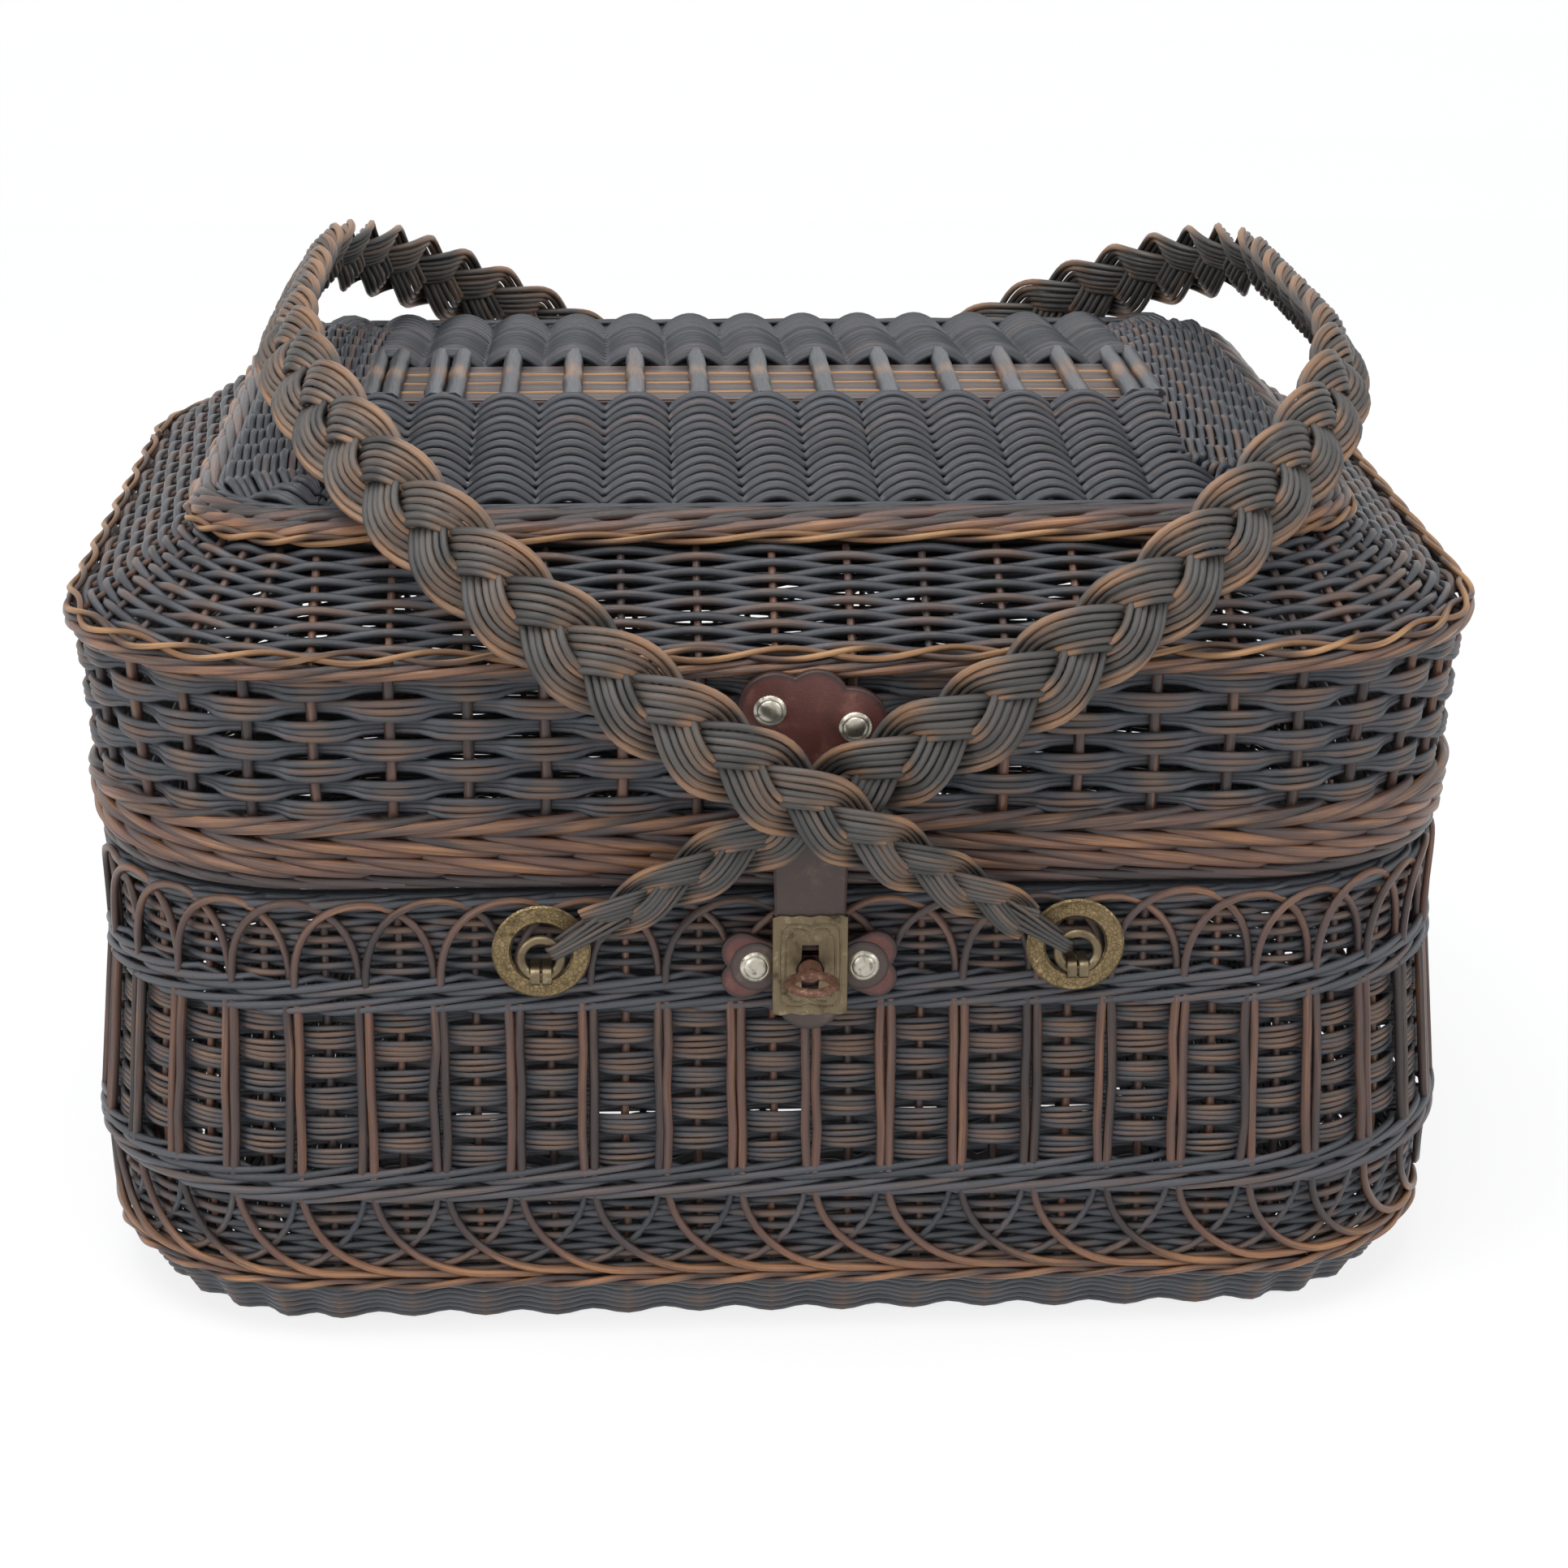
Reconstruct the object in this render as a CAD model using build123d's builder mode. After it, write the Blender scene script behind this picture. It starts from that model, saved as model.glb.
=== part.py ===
"""Lidded wicker creel with two crossed plaited handles, leather hasp and turn-eye. Millimetres.

The floor is z = 0, the front faces -Y. Every outline seen from above is the shoulder's outline
moved inwards by an inset, so walls, wales, borders and rods keep to one family of curves.
"""

import os
from math import atan2, cos, hypot, pi, radians, sin

from build123d import *

# Overall shape
shoulder_width = 450.0
shoulder_depth = 380.0
shoulder_corner = 84.0
wall = 6.0  # thickness of the woven walls
rod = 2.6  # thickness of one willow rod
seat = 0.1  # clearance between pieces of one body
running = 0.4  # clearance between pieces that move on each other

# Heights above the floor
rope_height = 17.0
rope_tall = 5.0
lower_wale_height = 49.0
lower_wale_tall = 12.0
upper_wale_height = 110.5
upper_wale_tall = 12.0
rim_height = 149.6
rim_tall = 7.5
lid_gap = 0.7  # between the rims of basket and lid
lid_border_tall = 27.0
shoulder_height = 225.0
shoulder_wale_tall = 11.0
top_height = 260.0

# Insets of the outer skin
foot_inset = 19.0
rope_inset = 7.0
belly_inset = 3.0
waist_inset = 9.0
rim_inset = 8.5
skirt_inset = 8.0
shoulder_inset = 1.0
top_inset = 40.0
wale_edge = 1.4  # how far a wale stands out at its upper and lower edges
wale_bulge = 3.3  # and at its middle
border_bulge = 3.0

# Top plate and base plate, woven round a window of slats
border_wide = 10.0
border_high = 8.5
border_round = 3.0  # how far the border's outer upper edge is rounded off
plate_lift = 3.0
crown = 9.0  # the top rises this much from its border to its window
window_corner = 1.0
rib_wide = 15.0
rib_high = 2.0
rib_sunk = 1.0  # how deep a rib's feet stand in the plate
slope_rows = 7
slope_relief = 1.3
slope_crest = 0.7  # share of a row that is its crest
slope_groove = 0.95  # share at which its groove is deepest
plate = 5.0
window_length = 262.0
window_depth = 56.0
slat_count = 4
slat_gap = 2.0
slat_thick = 3.0
cross_count = 13
cross_pitch = 21.4
cross_wide = 5.6
cross_over = 8.0  # how far a cross stick lies on the weave beside the window
base_lift = 3.0

# Fence of upright rods, in pairs
pair_count = 66
pair_gap = 0.5

# Brass washers, clips and rings that carry the handles
ring_spread = 82.0  # from the lock to each ring
off_middle = 8.0  # the lock and the handles sit a little to the right of the middle
ring_height = 132.0
ring_radius = 6.0
wire_drop = 5.2  # from the ring's middle to its wire in the clip
ring_wire = 3.0
washer_outer = 30.0
washer_inner = 22.0
washer_thick = 1.2
clip_wide = 7.0
clip_thick = 0.9
clip_room = 1.1  # room round the ring's wire in the clip
ring_stand = 3.4  # from the washer to the ring's wire

# Plaited handles
left_reach = 306.0  # from the rings to the far side of the hoop
right_reach = 297.0
plait_start = 18.0
left_corner = 150.0  # roundness of the hoop's far end
right_corner = 170.0
plait_flare = 40.0  # how much further out the handle stands at its top than at the ring
cross_run = 86.0  # from the ring to where the handles cross
cross_out = 9.0  # how much further out the left handle stands there
bend_radius = 150.0
plait_wide = 27.0
plait_end_wide = 12.0
plait_thick = 10.0
plait_end_thick = 7.0
plait_taper = 120.0
plait_turn = 60.0  # length in which a strand crosses over and back
plait_steps = 6  # sections in that length
strand_wide = 11.0
strand_thick = 3.9
handle_nest = 14.5  # the right handle lies this much outside the left
loop_wide = 4.0  # the loop at each end of a plait, round the ring's wire
loop_room = 0.4
loop_shift = 0.17  # the wire curves this much within the loop
left_lean = 32.0  # angle above the horizontal, lying crossed
right_lean = 34.5

# Hinge at the back
hinge_rod = 5.0
hinge_stand = 0.7  # between the lid's border and the hinge rod, at the height of its middle
hinge_rod_length = 300.0
hinge_loop_count = 3
hinge_loop_pitch = 120.0
hinge_loop_wire = 2.0
hinge_loop_wide = 4.0

# Leather and lock at the front
leather = 2.6
lock_height = 127.0
lock_tall = 22.0
lock_waist = 14.0
lock_rivets = 33.0
rivet_cap = 10.0
rivet_rise = 2.2
hasp_wide = 23.0
hasp_tall = 33.0
hasp_metal = 0.8
slot_wide = 5.0
slot_tall = 16.5
slot_middle = 8.6
tongue_drop = 5.0
strap_wide = 21.5
strap_top = 25.0
strap_top_height = 200.0
stem = 4.0
eye_outer = 17.0
eye_wire = 3.2
tab_wide = 45.0
tab_height = 209.0
tab_drop = 19.0
tab_lobe = 11.0
tab_rivets = 26.0
tab_tilt = 12.0
strap_lap = 30.0  # length of the strap's upper end for which the tab has room

# Derived heights
lid_bottom = rim_height + lid_gap
skirt_bottom = lid_bottom + lid_border_tall
slope_top = top_height - border_high
trim = rod + seat  # a skin that carries rods lies this much deeper


def outline(inset):
    """The outline from above, moved inwards by an inset."""
    return RectangleRounded(
        shoulder_width - 2 * inset,
        shoulder_depth - 2 * inset,
        shoulder_corner - inset,
    )


def level(height, inset):
    """The outline as a section at a height."""
    with BuildSketch(Plane.XY.offset(height)) as section:
        outline(inset)
    return section.sketch


def inset_at(height, profile):
    """Inset of a skin at a height, between the points of its profile."""
    for (low, a), (high, b) in zip(profile, profile[1:]):
        if height <= high:
            return a + (b - a) * (height - low) / (high - low)
    return profile[-1][1]


rope_middle = rope_height + rope_tall / 2
belly_height = lower_wale_height + lower_wale_tall / 2
waist_height = upper_wale_height + upper_wale_tall / 2
basket_skin = [
    (0, foot_inset),
    (rope_middle, rope_inset),
    (belly_height, belly_inset),
    (waist_height, waist_inset),
    (rim_height, rim_inset),
]
lid_skin = [
    (lid_bottom, skirt_inset),
    (shoulder_height, shoulder_inset),
    (slope_top, top_inset),
]


def basket_inset(height):
    return inset_at(height, basket_skin)


def lid_inset(height):
    return inset_at(height, lid_skin)


def band(outer, inner):
    """A closed band of wall through outer (height, inset) points, hollow inside the inner ones."""
    loft([level(*point) for point in outer], ruled=True)
    loft([level(*point) for point in inner], ruled=True, mode=Mode.SUBTRACT)


def woven(low, high, inset):
    """A plain woven wall between two heights, its skin set back for the rods that lie on it."""
    band(
        [(h, inset(h) + trim) for h in (low, high)],
        [(h, inset(h) + trim + wall) for h in (low, high)],
    )


def swell(low, high, inset, edge, bulge):
    """Outer points of a wale or border that swells outwards between two heights."""
    quarter, middle = (high - low) / 4, (low + high) / 2
    steps = [
        (low, edge),
        (low + quarter, bulge),
        (middle, bulge),
        (high - quarter, bulge),
        (high, edge),
    ]
    return [(h, inset(h) + trim - out) for h, out in steps]


def wale(low, high, inset, bulge):
    """A twisted band of rods that lies on the skin of a wall."""
    inner = [(h, inset(h) + trim - seat) for h in (low, (low + high) / 2, high)]
    band(swell(low, high, inset, wale_edge, bulge), inner)


def spots(count):
    """Points evenly spaced round the shoulder's outline, each with its outward direction."""
    wire = level(0, 0).wire()
    found = []
    for k in range(count):
        share = (k + 0.5) / count
        tangent = wire.tangent_at(share)
        out = Vector(tangent.Y, -tangent.X)
        point = wire.position_at(share)
        if out.dot(point) < 0:
            out = -out
        found.append((point, out))
    return found


def at(spot, inset, height):
    point, out = spot
    flat = point - out * inset
    return Vector(flat.X, flat.Y, height)


def front(height, inset, out=0.0):
    """Distance of the front skin from the middle, plus a distance outwards."""
    return shoulder_depth / 2 - inset(height) + out


# The basket's wall, from the floor up, with the wales that lie on it
with BuildPart() as foot_weave:
    woven(0, rope_middle, basket_inset)

with BuildPart() as lower_wall:
    woven(rope_middle, belly_height, basket_inset)

with BuildPart() as middle_wall:
    woven(belly_height, waist_height, basket_inset)

with BuildPart() as upper_wall:
    woven(waist_height, rim_height - rim_tall, basket_inset)

with BuildPart() as foot_rope:
    wale(rope_height, rope_height + rope_tall, basket_inset, wale_bulge)

with BuildPart() as lower_wale:
    wale(lower_wale_height, lower_wale_height + lower_wale_tall, basket_inset, wale_bulge)

with BuildPart() as upper_wale:
    wale(upper_wale_height, upper_wale_height + upper_wale_tall, basket_inset, wale_bulge)

hinge_axis_y = shoulder_depth / 2 - skirt_inset - trim + hinge_rod / 2 + hinge_stand
hinge_axis_z = rim_height + lid_gap / 2
hinge_loop_outer = hinge_rod / 2 + running + hinge_loop_wire
hinge_spots = [
    (i - (hinge_loop_count - 1) / 2) * hinge_loop_pitch for i in range(hinge_loop_count)
]


def hinge_pockets():
    """Room for the hinge loops in the two rims."""
    for x in hinge_spots:
        with BuildSketch(Plane.YZ.offset(x - hinge_loop_wide / 2 - running)) as pocket:
            with Locations((hinge_axis_y, hinge_axis_z)):
                Circle(hinge_loop_outer + running)
        extrude(pocket.sketch, amount=hinge_loop_wide + 2 * running, mode=Mode.SUBTRACT)


with BuildPart() as rim_border:
    woven(rim_height - rim_tall, rim_height, basket_inset)
    hinge_pockets()


# The fence of rods that stands on the middle wall between the two wales
def upright(spot, low, high, inset, shift):
    """One rod up a wall, shifted along the wall."""
    foot = at(spot, inset(low) + rod / 2, low)
    head = at(spot, inset(high) + rod / 2, high)
    out = spot[1]
    along = Vector(-out.Y, out.X) * shift
    with BuildSketch(Plane(origin=foot + along, x_dir=out, z_dir=(0, 0, 1))) as end:
        Rectangle(rod - 2 * seat, rod)
    extrude(end.sketch, amount=(head - foot).length, dir=(head - foot).normalized())


with BuildPart() as fence_rods:
    for spot in spots(pair_count):
        for side in (-1, 1):
            upright(
                spot,
                lower_wale_height + lower_wale_tall,
                upper_wale_height,
                basket_inset,
                side * (rod + pair_gap) / 2,
            )


# Woven plates with a window of slats, used for the lid's top and for the base
def slats(height):
    """Flat slats lying side by side in a window."""
    pitch = window_depth / slat_count
    for k in range(slat_count):
        with BuildSketch(Plane.XY.offset(height)) as slat:
            with Locations((0, (k - (slat_count - 1) / 2) * pitch)):
                Rectangle(window_length - 2 * seat, pitch - slat_gap)
        extrude(slat.sketch, amount=slat_thick)


def cross_sticks(height):
    """Sticks across the slats that end on the weave on both sides."""
    for k in range(cross_count):
        with BuildSketch(Plane.XY.offset(height)) as stick:
            with Locations(((k - (cross_count - 1) / 2) * cross_pitch, 0)):
                Rectangle(cross_wide, window_depth + 2 * cross_over)
        extrude(stick.sketch, amount=rod)


with BuildPart() as base_weave:
    faces = (base_lift, base_lift + plate)
    loft([level(h, basket_inset(h) + trim + wall + seat) for h in faces], ruled=True)
    with BuildSketch(Plane.XY.offset(base_lift)):
        Rectangle(window_length, window_depth)
    extrude(amount=plate, mode=Mode.SUBTRACT)

with BuildPart() as base_slats:
    slats(base_lift + plate - slat_thick)

with BuildPart() as base_cross_sticks:
    cross_sticks(base_lift + plate + seat)

# The lid
with BuildPart() as lid_border:
    depth = trim + wall
    band(
        swell(lid_bottom, skirt_bottom, lid_inset, 0, border_bulge),
        [(h, lid_inset(h) + depth) for h in (lid_bottom, skirt_bottom)],
    )
    hinge_pockets()

with BuildPart() as lid_skirt:
    woven(skirt_bottom, shoulder_height, lid_inset)

# The slope's wall is as thick as the others, measured square to its face. Its rows of
# rods stand out in low ribs.
slope_angle = atan2(slope_top - shoulder_height, top_inset - shoulder_inset)
slope_run = top_inset - shoulder_inset
slope_rise = slope_top - shoulder_height


def on_slope(share, sunk):
    """A (height, inset) point a share of the way up the slope, sunk square to its face."""
    height = shoulder_height + slope_rise * share - sunk * cos(slope_angle)
    return height, shoulder_inset + trim + slope_run * share + sunk * sin(slope_angle)


with BuildPart() as lid_slope:
    slope_wall = wall / sin(slope_angle)
    ribs = [on_slope(0, 0)]
    for row in range(slope_rows):
        ribs.append(on_slope((row + slope_crest) / slope_rows, 0))
        ribs.append(on_slope((row + slope_groove) / slope_rows, slope_relief))
    ribs[-1] = on_slope(1, 0)
    band(
        ribs,
        [
            (shoulder_height, lid_inset(shoulder_height) + trim + wall),
            (slope_top - wall, lid_inset(slope_top - wall) + trim + slope_wall),
            (slope_top, lid_inset(slope_top - wall) + trim + slope_wall),
        ],
    )

with BuildPart() as shoulder_wale:
    half = shoulder_wale_tall / 2
    wale(shoulder_height - half, shoulder_height + half, lid_inset, wale_bulge)

with BuildPart() as top_rope:
    band(
        [(slope_top, top_inset), (slope_top + rod, top_inset)],
        [(slope_top, top_inset + rod), (slope_top + rod, top_inset + rod)],
    )

with BuildPart() as top_border:
    inner_edge = top_inset + trim + border_wide
    band(
        [
            (slope_top, top_inset + trim),
            (slope_top + border_high - border_round, top_inset + trim),
            (slope_top + border_high, top_inset + trim + border_round),
        ],
        [(slope_top, inner_edge), (slope_top + border_high, inner_edge)],
    )

plate_edge = slope_top + plate_lift
window_top = plate_edge + plate + crown


def window_level(height):
    """The window's outline as a section at a height."""
    with BuildSketch(Plane.XY.offset(height)) as section:
        RectangleRounded(window_length, window_depth, window_corner)
    return section.sketch


def rib(x, side):
    """A rib of the top's weave over one stick, from near the window down to the border."""
    near = window_depth / 2 + cross_over + running
    edge = shoulder_depth / 2 - inner_edge
    far = edge - rib_sunk
    fall = crown / (edge - window_depth / 2)
    top = window_top - fall * (near - window_depth / 2)
    with BuildSketch(Plane((x, side * near, top), x_dir=(1, 0, 0), z_dir=(0, -1, 0))) as end:
        with BuildLine():
            Polyline((-rib_wide / 2, -rib_sunk), (0, rib_high), (rib_wide / 2, -rib_sunk), close=True)
        make_face()
    return extrude(end.sketch, amount=hypot(far - near, fall * (far - near)), dir=(0, side, -fall))


with BuildPart() as top_weave:
    loft([level(plate_edge + plate, inner_edge + seat), window_level(window_top)], ruled=True)
    with BuildSketch(Plane.XY.offset(plate_edge)):
        outline(inner_edge + seat)
    extrude(amount=plate)
    loft(
        [level(plate_edge, inner_edge + seat), window_level(window_top - plate)],
        ruled=True,
        mode=Mode.SUBTRACT,
    )
    for k in range(cross_count):
        for side in (-1, 1):
            rib((k - (cross_count - 1) / 2) * cross_pitch, side)
    loft([window_level(plate_edge), window_level(window_top + rib_high)], mode=Mode.SUBTRACT)

with BuildPart() as top_slats:
    slats(window_top - slat_thick)

with BuildPart() as top_cross_sticks:
    cross_sticks(window_top + seat)

# The hinge at the back: a rod tied to the lid, turning in loops on the basket's rim
with BuildPart() as hinge_pin:
    with BuildSketch(Plane.YZ.offset(-hinge_rod_length / 2)):
        with Locations((hinge_axis_y, hinge_axis_z)):
            Circle(hinge_rod / 2)
    extrude(amount=hinge_rod_length)

rim_back = shoulder_depth / 2 - basket_inset(rim_height - rim_tall) - trim
loop_foot = 3.0
with BuildPart() as hinge_loops:
    for x in hinge_spots:
        with BuildSketch(Plane.YZ.offset(x - hinge_loop_wide / 2)):
            with Locations((hinge_axis_y, hinge_axis_z)):
                Circle(hinge_loop_outer)
                Circle(hinge_rod / 2 + running, mode=Mode.SUBTRACT)
            with Locations((hinge_axis_y, hinge_axis_z - hinge_loop_outer - loop_foot / 2 + 1)):
                Rectangle(2 * (hinge_axis_y - rim_back - seat), loop_foot)
        extrude(amount=hinge_loop_wide)

# Brass washers, clips and rings, the same at the front and the back
wale_crest = upper_wale_height + upper_wale_tall / 4
fitting_back = front(wale_crest, basket_inset, wale_bulge - trim + seat)
ring_out = fitting_back + washer_thick + ring_stand + ring_wire / 2
left_ring = off_middle - ring_spread
right_ring = off_middle + ring_spread
corners = [(x, side) for x in (left_ring, right_ring) for side in (-1, 1)]


def facing(x, side, distance, height=ring_height):
    """A plane at the front or back wall, its normal pointing outwards."""
    return Plane(origin=(x, side * distance, height), x_dir=(-side, 0, 0), z_dir=(0, side, 0))


with BuildPart() as washers:
    for x, side in corners:
        with BuildSketch(facing(x, side, fitting_back)):
            Circle(washer_outer / 2)
            Circle(washer_inner / 2, mode=Mode.SUBTRACT)
        extrude(amount=washer_thick)

clip_inner = ring_wire / 2 + clip_room
clip_outer = clip_inner + clip_thick
wire_height = ring_height - wire_drop
wall_face = front(wire_height, basket_inset, seat - trim)
with BuildPart() as clips:
    for x, side in corners:
        with BuildSketch(Plane.YZ.offset(x - clip_wide / 2)):
            with Locations((side * ring_out, wire_height)):
                Circle(clip_outer)
            with Locations((side * (wall_face + ring_out) / 2, wire_height)):
                Rectangle(ring_out - wall_face, 2 * clip_outer)
                Rectangle(ring_out - wall_face, 2 * clip_inner, mode=Mode.SUBTRACT)
            with Locations((side * ring_out, wire_height)):
                Circle(clip_inner, mode=Mode.SUBTRACT)
        extrude(amount=clip_wide)


def rings(x):
    """The two rings of one handle, front and back."""
    for side in (-1, 1):
        ring_plane = facing(x, side, ring_out)
        with BuildSketch(Plane(ring_plane.origin, x_dir=(1, 0, 0), z_dir=(0, 0, 1))) as wire:
            with Locations((ring_radius, 0)):
                Circle(ring_wire / 2)
        revolve(wire.sketch, axis=Axis(ring_plane.origin, (0, 1, 0)))


with BuildPart() as left_rings:
    rings(left_ring)

with BuildPart() as right_rings:
    rings(right_ring)


# The handles: three flat strands plaited along a hoop
def hoop(reach, nest, corner):
    """The middle line of a handle in its own plane: x is the distance from the rings."""
    wide = ring_out + plait_flare + nest
    crossing = ring_out + cross_out + nest
    with BuildLine() as route:
        FilletPolyline(
            (plait_start, -ring_out),
            (cross_run, -crossing),
            (reach, -wide),
            (reach, wide),
            (cross_run, crossing),
            (plait_start, ring_out),
            radius=[bend_radius, corner, corner, bend_radius],
        )
    return route.wire()


def end_loop(plane, depth):
    """The ends of the strands, bent back round the ring's wire."""
    with BuildSketch(plane) as loop:
        with Locations((ring_radius, depth)):
            Circle(plait_end_thick / 2)
        with Locations(((ring_radius + plait_start) / 2, depth)):
            Rectangle(plait_start - ring_radius, plait_end_thick)
        with Locations((ring_radius - loop_shift, depth)):
            Circle(ring_wire / 2 + loop_room, mode=Mode.SUBTRACT)
    extrude(loop.sketch, amount=loop_wide / 2, both=True)


def plait(x, lean, reach, nest, corner):
    """The strands of one handle. The lean is measured from +X, against the ring's axis."""
    plane = Plane(
        origin=(x, 0, ring_height),
        x_dir=(cos(radians(lean)), 0, sin(radians(lean))),
        z_dir=(sin(radians(lean)), 0, -cos(radians(lean))),
    )
    middle = hoop(reach, nest, corner)
    length = middle.length
    turns = round(length / plait_turn)
    steps = turns * plait_steps

    def centre(strand, u):
        share = min(max(u, 0.0), 1.0)
        phase = 2 * pi * (turns * share + strand / 3 + 0.5 / plait_steps)
        spot = middle.position_at(share)
        tangent = middle.tangent_at(share)
        away = length * min(share, 1 - share)
        grow = min(1.0, away / plait_taper)
        wide = 1 - (1 - plait_end_wide / plait_wide) * (1 - grow)
        thick = 1 - (1 - plait_end_thick / plait_thick) * (1 - grow)
        across = (plait_wide - strand_wide) * wide / 2 * sin(phase)
        through = (plait_thick - strand_thick) * thick / 2 * sin(2 * phase)
        side = Vector(-tangent.Y, tangent.X)
        local = Vector(spot.X, spot.Y) + side * through + Vector(0, 0, across)
        here = plane.from_local_coords(local)
        return here, plane.from_local_coords(local + side) - here, wide, thick

    for strand in range(3):
        sections = []
        for k in range(steps + 1):
            u = k / steps
            here, side, wide, thick = centre(strand, u)
            ahead = centre(strand, u + 0.2 / steps)[0] - centre(strand, u - 0.2 / steps)[0]
            with BuildSketch(Plane(origin=here, x_dir=side.cross(ahead), z_dir=ahead)) as cut:
                Rectangle(strand_wide * wide, strand_thick * thick)
            sections.append(cut.sketch)
        loft(sections, ruled=True)
    for side in (-1, 1):
        end_loop(plane, side * ring_out)


with BuildPart() as left_plait:
    plait(left_ring, left_lean, left_reach, 0, left_corner)

with BuildPart() as right_plait:
    plait(right_ring, 180 - right_lean, right_reach, handle_nest, right_corner)

# The lock: a waisted leather plate riveted to the basket, and a turning eye
lock_back = fitting_back
front_plane = Plane((off_middle, 0, 0), x_dir=(1, 0, 0), z_dir=(0, -1, 0))
lock_plane = facing(off_middle, -1, lock_back, lock_height)
with BuildPart() as lock_leather:
    with BuildSketch(lock_plane):
        for side in (-1, 1):
            with Locations((side * lock_rivets / 2, 0)):
                Circle(lock_tall / 2)
        Rectangle(lock_rivets, lock_waist)
        Circle(stem / 2 + running, mode=Mode.SUBTRACT)
    extrude(amount=leather)


def caps(plane, spread):
    """Domed rivet caps, a pair side by side."""
    ball = (rivet_cap**2 / 4 + rivet_rise**2) / (2 * rivet_rise)
    for side in (-1, 1):
        centre = plane.from_local_coords((side * spread / 2, 0, rivet_rise - ball))
        with BuildSketch(Plane(centre, x_dir=plane.x_dir, z_dir=-plane.y_dir)) as dome:
            with BuildLine():
                Line((0, ball - rivet_rise), (0, ball))
                arc_end = (rivet_cap / 2, ball - rivet_rise)
                RadiusArc((0, ball), arc_end, ball)
                Line(arc_end, (0, ball - rivet_rise))
            make_face()
        revolve(dome.sketch, axis=Axis(centre, plane.z_dir))


with BuildPart() as lock_rivet_caps:
    caps(facing(off_middle, -1, lock_back + leather + seat, lock_height), lock_rivets)

hasp_back = lock_back + leather + running
hasp_front = hasp_back + leather + seat + hasp_metal
with BuildPart() as turn_eye:
    with BuildSketch(facing(off_middle, -1, lock_back + seat, lock_height)):
        Circle(stem / 2)
    eye_middle = hasp_front + 2.5 + eye_outer / 2
    extrude(amount=eye_middle - eye_outer / 2 + eye_wire / 2 - lock_back)
    with BuildSketch(Plane((off_middle, -eye_middle, lock_height), x_dir=(1, 0, 0), z_dir=(0, -1, 0))):
        with Locations(((eye_outer - eye_wire) / 2, 0)):
            Circle(eye_wire / 2)
    revolve(axis=Axis((off_middle, -eye_middle, lock_height), (0, 0, 1)))

# The hasp: a leather strap from the lid with a slotted brass cover folded round its end
hasp_middle = lock_height + 1.5
strap_low = hasp_middle - hasp_tall / 2 - tongue_drop


def slot(plane, grow=0.0):
    """The keyhole for the turning eye."""
    with BuildSketch(plane) as keyhole:
        with Locations((0, lock_height - hasp_middle)):
            Rectangle(slot_wide + grow, slot_tall + grow)
            Circle(slot_middle / 2 + grow / 2)
    return keyhole.sketch


with BuildPart() as hasp_strap:
    over_border = front(skirt_bottom, lid_inset, border_bulge - trim + seat)
    on_skirt = front(strap_top_height, lid_inset, seat - trim)
    crest = (lid_bottom + skirt_bottom) / 2
    bend = [
        (-on_skirt, strap_top_height),
        (-over_border, crest + lid_border_tall / 4),
        (-over_border, crest - lid_border_tall / 4),
        (-hasp_back, hasp_middle + hasp_tall / 2),
        (-hasp_back, strap_low),
    ]
    with BuildSketch(Plane.YZ.offset(off_middle - strap_top / 2)):
        with BuildLine():
            Polyline(*bend, *[(y - leather, z) for y, z in reversed(bend)], close=True)
        make_face()
    extrude(amount=strap_top)
    with BuildSketch(front_plane):
        with Locations((0, (strap_low + strap_top_height) / 2)):
            Rectangle(2 * strap_top, strap_top_height - strap_low + 2)
        with BuildLine():
            Polyline(
                (-strap_top / 2, strap_top_height),
                (-strap_wide / 2, hasp_middle + hasp_tall / 2),
                (-strap_wide / 2, strap_low + strap_wide / 2),
            )
            ThreePointArc(
                (-strap_wide / 2, strap_low + strap_wide / 2),
                (0, strap_low),
                (strap_wide / 2, strap_low + strap_wide / 2),
            )
            Polyline(
                (strap_wide / 2, strap_low + strap_wide / 2),
                (strap_wide / 2, hasp_middle + hasp_tall / 2),
                (strap_top / 2, strap_top_height),
                (-strap_top / 2, strap_top_height),
            )
        make_face(mode=Mode.SUBTRACT)
    extrude(amount=shoulder_depth, mode=Mode.SUBTRACT)
    keyhole = slot(facing(off_middle, -1, hasp_back - 1, hasp_middle), 0.6)
    extrude(keyhole, amount=leather + 2, mode=Mode.SUBTRACT)

with BuildPart() as hasp_cover:
    with BuildSketch(facing(off_middle, -1, hasp_back, hasp_middle)):
        Rectangle(hasp_wide, hasp_tall)
        Rectangle(strap_wide + 2 * seat, hasp_tall, mode=Mode.SUBTRACT)
    extrude(amount=leather + seat)
    with BuildSketch(facing(off_middle, -1, hasp_back + leather + seat, hasp_middle)):
        Rectangle(hasp_wide, hasp_tall)
    extrude(amount=hasp_metal)
    keyhole = slot(facing(off_middle, -1, hasp_back, hasp_middle))
    extrude(keyhole, amount=leather + 2 * hasp_metal, mode=Mode.SUBTRACT)

# The lobed leather tab on the lid's skirt, riveted over the strap's upper end
skirt_slant = (skirt_inset - shoulder_inset) / (shoulder_height - lid_bottom)
tab_back = front(tab_height, lid_inset, wale_bulge - trim + seat)
tab_plane = Plane(
    origin=(off_middle, -tab_back, tab_height),
    x_dir=(cos(radians(tab_tilt)), 0, -sin(radians(tab_tilt))),
    z_dir=(0, -1, -skirt_slant),
)

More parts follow.
